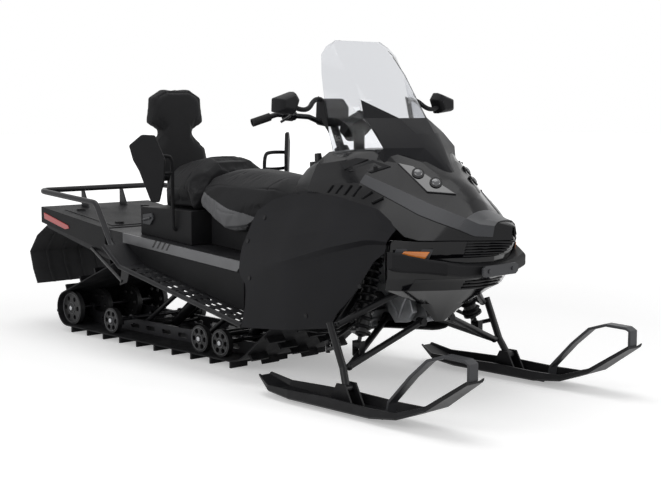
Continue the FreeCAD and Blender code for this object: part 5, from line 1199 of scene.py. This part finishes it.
@dataclass
class Controls:
    """Levers, switch blocks and bar cover, and the gauge's face.

    Attributes:
        bar: Middle of the bar.
        lever: Route of the left lever.
        lever_radius: Radius of a lever.
        block: Inner and outer end of the left switch block.
        block_radii: Radius at its inner and outer end.
        pad_outline: Outline of the bar cover, in x and z from the bar.
        pad_half: Half width of the bar cover.
        gauge: Middle of the gauge's foot.
        gauge_radius: Radius of the gauge.
        gauge_depth: Height of its face over its foot.
    """

    bar: Point = (0.385, 0.0, 1.125)
    lever: tuple[Point, ...] = ((0.400, 0.245, 1.128), (0.416, 0.258, 1.122), (0.421, 0.288, 1.108),
                                (0.414, 0.312, 1.094))
    lever_radius: float = 0.0055
    block: tuple[Point, Point] = ((0.392, 0.215, 1.119), (0.386, 0.265, 1.122))
    block_radii: tuple[float, float] = (0.020, 0.018)
    pad_outline: Outline = ((-0.030, -0.045), (0.045, -0.055), (0.050, 0.030), (0.012, 0.070), (-0.024, 0.058))
    pad_half: float = 0.070
    gauge: Point = (0.560, 0.0, 1.060)
    gauge_radius: float = 0.070
    gauge_depth: float = 0.035

    def build(self) -> list[Piece]:
        """Make the controls that turn with the bar, and the gauge's face."""
        levers = [tube([vec(x, y * side, z) for x, y, z in self.lever], self.lever_radius) for side in (1, -1)]
        near, far = self.block_radii
        for side in (-1, 1):
            inner, outer = (vec(x, y * side, z) for x, y, z in self.block)
            levers.append(rod(inner, outer, near, 16, far))
        outline = tuple((self.bar[0] + x, self.bar[2] + z) for x, z in self.pad_outline)
        pad = upright(outline, -self.pad_half, self.pad_half * 2, 0.014, 3)
        face = (UP - AHEAD).normalized()
        centre = Vector(self.gauge) + face * self.gauge_depth
        bezel = rod(centre - face * 0.004, centre + face * 0.006, self.gauge_radius + 0.002, 48)
        glass = rod(centre + face * 0.004, centre + face * 0.0075, self.gauge_radius - 0.006, 48)
        return [finish_piece("bar_levers", joined(levers), SATIN_BLACK, body=Body.HANDLEBAR),
                finish_piece("bar_pad", pad, SEAT_COVER, body=Body.HANDLEBAR),
                finish_piece("gauge_bezel", bezel, BLACK_PLASTIC), finish_piece("gauge_glass", glass, LAMP_GLASS)]


@dataclass
class RearTrim:
    """Red side lenses, the box's latches and the slashes on the rail covers.

    Attributes:
        lens_outline: Outline of a side lens, in x and z.
        tail_side: Distance of the tail's sides from the centre plane.
        latch_outline: Outline of a latch, in x and z.
        latch_bar: Place and height of both ends of the latch's bar.
        box_side: Distance of the box's sides from the centre plane.
        slash_x: Where each slash starts.
        slash_outline: Outline of a slash, from its start.
        slash_level: Place, height and slope of the line that the slashes follow.
        rail_side: Distance of the rail covers from the centre plane.
    """

    lens_outline: Outline = ((-1.405, 0.612), (-1.180, 0.560), (-1.170, 0.545), (-1.205, 0.538), (-1.400, 0.580))
    tail_side: float = 0.338
    latch_outline: Outline = ((-0.632, 0.60), (-0.632, 0.645), (-0.560, 0.655), (-0.548, 0.628), (-0.575, 0.597))
    latch_bar: Outline = ((-0.622, 0.620), (-0.566, 0.632))
    box_side: float = 0.262
    slash_x: tuple[float, ...] = (-0.475, -0.440, -0.405, -0.370)
    slash_outline: Outline = ((0.0, 0.0), (0.012, 0.0), (0.040, 0.034), (0.028, 0.034))
    slash_level: Point = (-0.420, 0.500, -0.06)
    rail_side: float = 0.3305

    def build(self) -> list[Piece]:
        """Make the trim of the tail and the box."""
        lens = upright(self.lens_outline, -self.tail_side + 0.002, -0.006, 0.002)
        latch = upright(self.latch_outline, -self.box_side, -0.010, 0.003)
        start, end = (vec(x, -self.box_side - 0.012, z) for x, z in self.latch_bar)
        level_x, level_z, slope = self.slash_level
        slashes = [upright(tuple((x + across, level_z + (x - level_x) * slope + up)
                                 for across, up in self.slash_outline), -self.rail_side, -0.0025) for x in self.slash_x]
        return [finish_piece("side_lenses", with_twin(lens), RED_LENS),
                finish_piece("box_latches", with_twin(joined([latch, rod(start, end, 0.006, 12)])), GREY_BAND),
                finish_piece("rail_slashes", with_twin(joined(slashes)), GLOSS_BLACK)]


CONSOLE_ROWS: tuple[Row, ...] = (
    (-0.06, ((0.3596, 0.8), (0.3404, 0.818), (0.2979, 0.835), (0.2191, 0.856), (0.1191, 0.866), (0.0, 0.87))),
    (0.05, ((0.5574, 0.8), (0.5468, 0.825), (0.5106, 0.858), (0.4191, 0.897), (0.2596, 0.928), (0.0, 0.935))),
    (0.2197, ((0.7298, 0.812), (0.7234, 0.842), (0.7064, 0.868), (0.6383, 0.925), (0.4894, 0.975), (0.0, 0.985))),
)


@dataclass
class Console:
    """Dash console behind the hood, with the collar round the steering post and its knobs.

    Attributes:
        panel_wall: Wall of the console.
        core: Point behind its skin.
        post: Where the steering post leaves it.
        post_way: Direction of the post.
        collar: How far the collar reaches below and above that point.
        collar_radii: Radius of the collar at its foot and top.
        knobs: Place of each knob.
    """

    panel_wall: float = 0.005
    core: Point = (0.48, 0.0, 0.60)
    post: Point = (0.462, 0.0, 0.955)
    post_way: Point = (-0.41, 0.0, 0.91)
    collar: tuple[float, float] = (0.045, 0.030)
    collar_radii: tuple[float, float] = (0.044, 0.030)
    knobs: tuple[Point, ...] = ((0.440, -0.150, 0.905), (0.440, 0.150, 0.905), (0.540, -0.215, 0.945))

    def build(self) -> list[Piece]:
        """Make the console's pieces."""
        shell = sheet([BODY_FRAME.whole(row) for row in BODY_FRAME.rows(CONSOLE_ROWS)], self.core)
        console = wall_piece("console_shell", shell, BLACK_PLASTIC, self.panel_wall, "console")
        post, up = Vector(self.post), Vector(self.post_way).normalized()
        foot, top = self.collar_radii
        parts = [rod(post - up * self.collar[0], post + up * self.collar[1], foot, 32, top)]
        for here in map(Vector, self.knobs):
            parts.append(rod(here - UP * 0.02, here + vec(-0.006, 0.0, 0.020), 0.017, far_radius=0.014))
        return [console, finish_piece("console_fittings", joined(parts), SATIN_BLACK)]


@dataclass
class HandGuards:
    """Leaf-shaped guards, grip bars and arms beside the passenger's seat.

    Attributes:
        place: Foot of the right guard.
        height: Height of a guard.
        chord: Width of a guard.
        turn: Degrees by which it is turned from the centre plane.
        radius: Radius of the grip bar, and half the guard's thickness.
        inner: Where the grip bar ends, from the centre plane.
        outline: Shares of width and height round a guard.
    """

    place: Point = (-0.381, -0.418, 0.724)
    height: float = 0.307
    chord: float = 0.165
    turn: float = 46.2
    radius: float = 0.009
    inner: float = 0.262
    outline: Outline = ((-0.5, 0.84), (-0.145, 1.0), (0.22, 0.99), (0.5, 0.625), (0.467, 0.32), (0.327, 0.0),
                        (0.09, 0.0), (-0.23, 0.466), (-0.394, 0.625))

    def build(self) -> list[Piece]:
        """Make both guards."""
        turn = math.radians(self.turn)
        along = vec(math.cos(turn), math.sin(turn), 0.0)
        blade = prism([Vector(self.place) + along * (self.chord * across) + UP * (self.height * up)
                       for across, up in self.outline], along.cross(UP) * self.radius * 2, 0.007, 3)
        x, y, z = self.place
        side = -self.inner - self.radius * 2

        def route(*places: tuple[float, float]) -> list[Vector]:
            """Points over the guard's place, by their place across and share of its height."""
            return [vec(x, across, z + self.height * share) for across, share in places]

        grip = tube([*route((y, 0.67), (side - 0.03, 0.69), (side, 0.62), (side, 0.3)), vec(x, side, 0.62),
                     vec(x, side + 0.006, 0.59), vec(x, -self.inner + 0.01, 0.585)], self.radius)
        arm = tube(route((y, 0.42), ((y + side) / 2, 0.40), (side, 0.42)), self.radius * 0.9)
        return [finish_piece("guard_blades", with_twin(joined([blade, grip, arm])), BLACK_PLASTIC, "hand_guards")]


@dataclass(frozen=True)
class Seam:
    """A sewn seam: the points it runs through, in metres."""

    points: tuple[Point, ...]
    width: float = 0.005
    depth: float = 0.004

    def distance(self, place: Vector) -> float:
        """How far a place lies from the seam."""
        nearest = math.inf
        for start, end in zip(map(Vector, self.points), map(Vector, self.points[1:])):
            along = end - start
            share = max(0.0, min(1.0, (place - start).dot(along) / along.length_squared))
            nearest = min(nearest, (start + along * share - place).length)
        return nearest


@dataclass
class Cushion:
    """A padded seat part, swollen from the solid that holds its place.

    Attributes:
        node: Node that the cushion replaces.
        voxel: Size of the remeshing.
        shrink: How far the starting shape lies inside the solid.
        cap: How far a point may move.
        pressure: Pressure of the filling.
        steps: Steps of the simulation.
        fill: How tight the cushion is; not used.
        rows: Cross-sections of the starting shape, or none to start from the node.
        seams: Seams pressed in after the swelling.
        panel: Corners, in x and z, of the paler side panel.
        panel_side: Distance from the centre plane past which the panel shows.
    """

    node: str
    voxel: float = 0.006
    shrink: float = 0.004
    cap: float = 0.014
    pressure: float = 4.0
    steps: int = 20
    fill: float = 0.7
    rows: tuple[tuple[Point, ...], ...] = ()
    seams: tuple[Seam, ...] = ()
    panel: Outline = ()
    panel_side: float = 0.10

    def start(self) -> Piece:
        """Make the remeshed starting shape.

        Returns:
            The object, not yet riding on a body.
        """
        if self.rows:
            mesh = sheet([[Vector(point) for point in (*row, row[0])] for row in self.rows])
        else:
            mesh = merged_copy(self.node)
        soften(mesh, 0.012, 30.0, 3)
        bmesh.ops.triangulate(mesh, faces=mesh.faces[:])
        piece = new_object(f"{self.node}_cushion", mesh)
        remesh = piece.modifiers.new("remesh", "REMESH")
        remesh.mode = "VOXEL"
        remesh.voxel_size = self.voxel
        self.apply(piece)
        relaxed = bmesh.new()
        relaxed.from_mesh(piece.data)
        for _ in range(3):
            bmesh.ops.smooth_vert(relaxed, verts=relaxed.verts[:], factor=0.5, use_axis_x=True, use_axis_y=True,
                                  use_axis_z=True)
        relaxed.normal_update()
        for vert in relaxed.verts:
            vert.co -= vert.normal * self.shrink
        relaxed.to_mesh(piece.data)
        relaxed.free()
        return piece

    @staticmethod
    def apply(piece: Piece) -> None:
        """Fix a piece's modifiers in its mesh."""
        graph = bpy.context.evaluated_depsgraph_get()
        fixed = bpy.data.meshes.new_from_object(piece.evaluated_get(graph), depsgraph=graph)
        fixed.name = piece.data.name
        piece.modifiers.clear()
        piece.data = fixed

    def swell(self, piece: Piece) -> None:
        """Fill the cushion by cloth simulation and keep its points near their places."""
        before = [vert.co.copy() for vert in piece.data.vertices]
        cloth = piece.modifiers.new("filling", "CLOTH")
        settings = cloth.settings
        settings.quality = 4
        settings.mass = 0.3
        settings.use_pressure = True
        settings.uniform_pressure_force = self.pressure
        settings.tension_stiffness = settings.compression_stiffness = 12.0
        settings.bending_stiffness = 0.6
        settings.effector_weights.gravity = 0.0
        cloth.point_cache.frame_start = 1
        cloth.point_cache.frame_end = self.steps
        scene = bpy.context.scene
        for step in range(1, self.steps + 1):
            scene.frame_set(step)
        self.apply(piece)
        scene.frame_set(1)
        for vert, origin in zip(piece.data.vertices, before):
            move = vert.co - origin
            if move.length > self.cap:
                vert.co = origin + move.normalized() * self.cap

    def press_seams(self, piece: Piece) -> None:
        """Press the seams into the finished surface."""
        mesh = bmesh.new()
        mesh.from_mesh(piece.data)
        mesh.normal_update()
        for seam in self.seams:
            for vert in mesh.verts:
                near = seam.distance(vert.co)
                if near < 3.0 * seam.width:
                    vert.co -= vert.normal * seam.depth * math.exp(-(near / seam.width) ** 2)
        mesh.to_mesh(piece.data)
        mesh.free()

    def cover(self, piece: Piece) -> None:
        """Cover the cushion, and its side panels in their own paler cloth."""
        piece.data.materials.clear()
        piece.data.materials.append(SEAT_COVER.build())
        if self.panel:
            piece.data.materials.append(SIDE_COVER.build())
            for face in piece.data.polygons:
                x, y, z = face.center
                face.material_index = int(abs(y) > self.panel_side and inside(x, z, self.panel))
        piece.data.shade_smooth()

    def build(self) -> Piece:
        """Make the cushion that replaces its node."""
        piece = self.start()
        self.swell(piece)
        subdivide = piece.modifiers.new("round", "SUBSURF")
        subdivide.levels = subdivide.render_levels = 1
        self.apply(piece)
        self.press_seams(piece)
        self.cover(piece)
        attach(piece, Body.CHASSIS.value)
        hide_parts(self.node)
        return piece


def cushion_rows(table: Sequence[Row], front_x: float, length: float, half: float, top: float,
                 foot: float | None = None) -> tuple[tuple[Point, ...], ...]:
    """Closed cross-sections of a cushion from its front to its rear.

    Args:
        table: Shares of length, then of half width and height from the low edge to the crown.
        front_x: Place of the front.
        length: Length of the cushion.
        half: Half its width.
        top: Height of its crown.
        foot: Height of its level underside, or none where the low edge follows the table.

    Returns:
        The cross-sections.
    """
    rows = []
    for share_x, line in table:
        right = [(front_x - length * share_x, -half * share_y, top * share_z) for share_y, share_z in line]
        if foot is not None:
            right[0] = (*right[0][:2], foot)
        rows.append((*right, *((x, -y, z) for x, y, z in reversed(right[:-1]))))
    return tuple(rows)


def crease_seams(rows: Sequence[Sequence[Point]]) -> tuple[Seam, ...]:
    """Seams along the two upper creases of a cushion, on both sides."""
    seams = []
    for column in (1, 2):
        right = tuple(row[column] for row in rows)
        seams += [Seam(right), Seam(tuple((x, -y, z) for x, y, z in right))]
    return tuple(seams)


def cross_seam(row: Sequence[Point], sweep: float) -> Seam:
    """Seam over a cushion from side to side, swept back at the sides."""
    half = max(abs(y) for _, y, _ in row)
    return Seam(tuple((x - sweep * abs(y) / half, y, z) for x, y, z in row[1:-1]))


def back_seam(*points: tuple[float, float]) -> Seam:
    """Seam on the backrest's front face, given in y and z."""
    return Seam(tuple((BACK_FACE, y, z) for y, z in points))


DRIVER_ROWS: tuple[Row, ...] = (
    (0.0, ((0.5556, 0.8121), (0.5873, 0.8585), (0.5159, 0.9049), (0.3571, 0.9281), (0.0, 0.935))),
    (0.1786, ((0.7738, 0.7599), (0.8532, 0.8121), (0.6548, 0.9281), (0.4365, 0.9687), (0.0, 0.9745))),
    (0.4643, ((0.9524, 0.71), (0.9722, 0.7889), (0.7341, 0.9165), (0.4762, 0.9861), (0.0, 0.993))),
    (0.6429, ((1.0, 0.6995), (1.0, 0.8005), (0.754, 0.9223), (0.496, 0.993), (0.0, 1.0))),
    (0.8036, ((0.9722, 0.7425), (0.9722, 0.8179), (0.7738, 0.9281), (0.5159, 0.9954), (0.0, 1.0))),
    (1.0, ((0.8929, 0.8121), (0.9127, 0.8527), (0.7937, 0.9165), (0.5952, 0.9722), (0.0, 0.9768))),
)
PASSENGER_ROWS: tuple[Row, ...] = (
    (0.0, ((0.9921, 0.7418), (1.0, 0.817), (0.754, 0.9368), (0.4365, 0.9967), (0.0, 1.0))),
    (0.2246, ((0.8929, 0.7418), (0.881, 0.8497), (0.7341, 0.9477), (0.4762, 0.9956), (0.0, 1.0))),
    (0.6456, ((0.8532, 0.7418), (0.8413, 0.8497), (0.7143, 0.9368), (0.4365, 0.9717), (0.0, 0.976))),
    (1.0, ((0.8135, 0.7418), (0.8135, 0.8279), (0.7143, 0.9041), (0.5159, 0.9499), (0.0, 0.9542))),
)
BACK_FACE = -0.702
DRIVER_FRONT, DRIVER_LENGTH, DRIVER_TOP = 0.300, 0.560, 0.862
DRIVER = cushion_rows(DRIVER_ROWS, DRIVER_FRONT, DRIVER_LENGTH, 0.252, DRIVER_TOP)
PASSENGER = cushion_rows(PASSENGER_ROWS, -0.266, 0.285, 0.252, 0.918, 0.681)
CUSHIONS = (
    Cushion("driver_seat", rows=DRIVER,
            seams=(*crease_seams(DRIVER), cross_seam(DRIVER[1], 0.05), cross_seam(DRIVER[3], 0.04)),
            panel=((0.125, 0.672), (0.03, 0.61), (-0.10, 0.595), (-0.27, 0.66), (-0.27, 0.770), (-0.215, 0.765),
                   (-0.12, 0.735), (-0.02, 0.705), (0.06, 0.690))),
    Cushion("passenger_seat", rows=PASSENGER, seams=(*crease_seams(PASSENGER), cross_seam(PASSENGER[1], 0.03))),
    Cushion("backrest", cap=0.018, seams=(
        back_seam((-0.10, 1.085), (-0.13, 1.10), (-0.115, 1.205), (-0.06, 1.225), (0.06, 1.225), (0.115, 1.205),
                  (0.13, 1.10), (0.10, 1.085), (-0.10, 1.085)),
        back_seam((-0.09, 1.03), (-0.150, 0.93), (-0.155, 0.86), (-0.12, 0.80), (0.12, 0.80), (0.155, 0.86),
                  (0.150, 0.93), (0.09, 1.03)),
        back_seam((-0.15, 0.88), (0.0, 0.86), (0.15, 0.88)))),
)


@dataclass
class SeatBase:
    """Moulded base under the driver's cushion.

    Attributes:
        half: Half its width.
        overlap: How far it reaches into the cushion.
        tunnel_rear: Place and height of the tunnel's rear end.
        tunnel_front: Place and height of the tunnel's front end.
    """

    half: float = 0.151
    overlap: float = 0.02
    tunnel_rear: tuple[float, float] = (-1.400, 0.604)
    tunnel_front: tuple[float, float] = (0.400, 0.472)

    def build(self) -> list[Piece]:
        """Make the base, whose top follows the cushion's lower edge."""
        lower = [(DRIVER_FRONT - DRIVER_LENGTH * share_x, DRIVER_TOP * line[0][1] + self.overlap)
                 for share_x, line in DRIVER_ROWS]
        (rear_x, rear_z), (front_x, front_z) = self.tunnel_rear, self.tunnel_front
        slope = (rear_z - front_z) / (rear_x - front_x)
        feet = [(x, front_z + (x - front_x) * slope) for x in (DRIVER_FRONT - DRIVER_LENGTH, DRIVER_FRONT)]
        block = upright((*lower, *feet), -self.half, self.half * 2, 0.006, 3)
        return [finish_piece("seat_base_moulding", block, BLACK_PLASTIC)]


@dataclass
class StrapLoops:
    """Flat strap loops at the ski tips.

    Attributes:
        thickness: Thickness of the strap.
        width: Width of the strap.
        track_y: Distance of the skis from the centre plane.
        base: Place and height of the rear foot.
        tip: Place and height of the front foot.
        top: Height of the loop.
        shares: Shares of length and height along the strap.
    """

    thickness: float = 0.012
    width: float = 0.050
    track_y: float = 0.4875
    base: tuple[float, float] = (1.2113, 0.030)
    tip: tuple[float, float] = (1.616, 0.210)
    top: float = 0.290
    shares: Outline = ((0.0, 0.0), (0.03, 0.2), (0.29, 0.62), (0.5, 0.9), (0.7, 1.0), (0.94, 0.97), (1.0, 0.8),
                       (1.0, 0.0))

    def strap(self, y: float) -> Mesh:
        """One strap, centred at a place across the machine."""
        route = []
        for share_x, share_z in self.shares:
            foot = self.tip[1] if share_x > 0.5 else self.base[1]
            route.append(vec(self.base[0] + (self.tip[0] - self.base[0]) * share_x, y - self.width / 2,
                             foot + (self.top - foot) * share_z))
        inner = []
        for index, here in enumerate(route):
            along = route[min(index + 1, len(route) - 1)] - route[max(index - 1, 0)]
            inner.append(here + vec(along.z, 0.0, -along.x).normalized() * self.thickness)
        inner[0].z, inner[-1].z = route[0].z, route[-1].z
        return prism([*route, *reversed(inner)], LEFT * self.width, 0.003, crease=15.0)

    def build(self) -> list[Piece]:
        """Make both straps."""
        return [finish_piece(f"{node}_strap", self.strap(side * self.track_y), LOOP_GREY, node, body)
                for side, body, node in ((-1, Body.SKI_RIGHT, "ski_loop_right"), (1, Body.SKI_LEFT, "ski_loop_left"))]


@dataclass
class Studio:
    """Camera, floor, world and lamps.

    Attributes:
        lens: Focal length for the sensor.
        sensor: Width of the sensor.
        station: Place of the camera.
        gaze: Direction that it looks in.
        floor_half: Half the side of the floor.
        floor_grey: Value of the floor's colour.
        near_glow: Glow of the floor at the machine, as the camera sees it.
        far_glow: Glow of the floor far away.
        near_reach: Distance up to which the near glow holds.
        far_reach: Distance from which the far glow holds.
        sky: Strength of the surroundings as light.
        lamps: Name, place, aim, width, height and power of each lamp.
    """

    lens: float = 71.70
    sensor: float = 36.0
    station: Point = (4.5222, -3.9349, 1.1673)
    gaze: Point = (-0.7209, 0.6854, -0.1026)
    floor_half: float = 40.0
    floor_grey: float = 0.80
    near_glow: float = 0.35
    far_glow: float = 0.85
    near_reach: float = 2.2
    far_reach: float = 7.0
    sky: float = 0.42
    lamps: tuple[tuple[str, Point, Point, float, float, float], ...] = (
        ("top_lamp", (0.0, 0.0, 4.5), (0.0, 0.0, 0.0), 5.0, 3.0, 90.0),
        ("side_lamp", (0.5, -5.0, 2.6), (0.0, 0.0, 0.6), 4.0, 2.0, 70.0),
        ("front_lamp", (5.0, 2.5, 2.4), (0.6, 0.0, 0.6), 2.5, 2.0, 55.0))

    @staticmethod
    def set_up(name: str, data: bpy.types.ID, place: Point, way: Vector) -> Piece:
        """Put a camera or a lamp in its place, looking along a way."""
        item = bpy.data.objects.new(name, data)
        item.location = place
        item.rotation_euler = way.to_track_quat("-Z", "Y").to_euler()
        bpy.context.scene.collection.objects.link(item)
        return item

    def camera(self) -> None:
        """Place the camera at the photograph's angle."""
        data = bpy.data.cameras.new("camera")
        data.lens = self.lens
        data.sensor_width = self.sensor
        data.clip_end = 200.0
        bpy.context.scene.camera = self.set_up("camera", data, self.station, Vector(self.gaze))

    @staticmethod
    def seen(tree: Tree) -> Socket:
        """Mask of the rays that show the white surroundings: camera, glossy and transmission."""
        path = add_node(tree, "LightPath").outputs
        clear = combine(tree, "MAXIMUM", path["Is Camera Ray"], path["Is Transmission Ray"])
        return combine(tree, "MAXIMUM", clear, path["Is Glossy Ray"])

    def floor(self) -> None:
        """Lay the pale floor."""
        mesh = bmesh.new()
        bmesh.ops.create_grid(mesh, x_segments=1, y_segments=1, size=self.floor_half)
        floor = new_object("floor", mesh)
        material = bpy.data.materials.new("floor_paper")
        material.use_nodes = True
        tree = material.node_tree
        shader = tree.nodes["Principled BSDF"].inputs
        for label, value in (("Base Color", (*[self.floor_grey] * 3, 1.0)), ("Roughness", 0.9),
                             ("Specular IOR Level", 0.1), ("Emission Color", (1.0, 1.0, 1.0, 1.0))):
            shader[label].default_value = value
        place = add_node(tree, "TexCoord").outputs["Object"]
        away = add_node(tree, "VectorMath", {0: place}, operation="LENGTH").outputs["Value"]
        level = add_node(tree, "MapRange", {"Value": away}, From_Min=self.near_reach, From_Max=self.far_reach,
                         To_Min=self.near_glow, To_Max=self.far_glow)
        tree.links.new(combine(tree, "MULTIPLY", self.seen(tree), level.outputs[0]), shader["Emission Strength"])
        floor.data.materials.append(material)

    def world(self) -> None:
        """Set the white surroundings, softer as light than as background."""
        world = bpy.data.worlds.new("studio")
        world.use_nodes = True
        bpy.context.scene.world = world
        tree = world.node_tree
        back = tree.nodes["Background"].inputs
        back["Color"].default_value = (1.0, 1.0, 1.0, 1.0)
        level = add_node(tree, "MapRange", {"Value": self.seen(tree)}, To_Min=self.sky, To_Max=1.0)
        tree.links.new(level.outputs[0], back["Strength"])

    def build(self) -> None:
        """Set up the whole studio."""
        self.camera()
        self.floor()
        self.world()
        for name, place, aim, width, height, power in self.lamps:
            data = bpy.data.lights.new(name, "AREA")
            data.shape = "RECTANGLE"
            data.size, data.size_y, data.energy = width, height, power
            self.set_up(name, data, place, Vector(aim) - Vector(place))
        bpy.context.scene.view_settings.view_transform = "Standard"


def corners(box: tuple[Vector, Vector]) -> list[list[float]]:
    """Two corners as plain lists."""
    return [list(corner) for corner in box]


def main() -> None:
    """Build and dress the whole machine in order."""
    logging.basicConfig(level=logging.INFO)
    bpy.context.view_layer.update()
    Studio().build()
    log.info("studio")
    dress_nodes()
    log.info("finishes")
    pieces = [plan.build() for plan in (*SKINS, *CUSHIONS)]
    for assembly in (Hood, Nose, Windshield, SidePanels, Console, HandGuards, SeatBase, StrapLoops, SkidTrim,
                     FrontCastings, Controls, RearTrim):
        pieces += assembly().build()
    for piece in pieces:
        log.info("%s: %d faces", piece.name, len(piece.data.polygons))


if __name__ == "__main__":
    main()
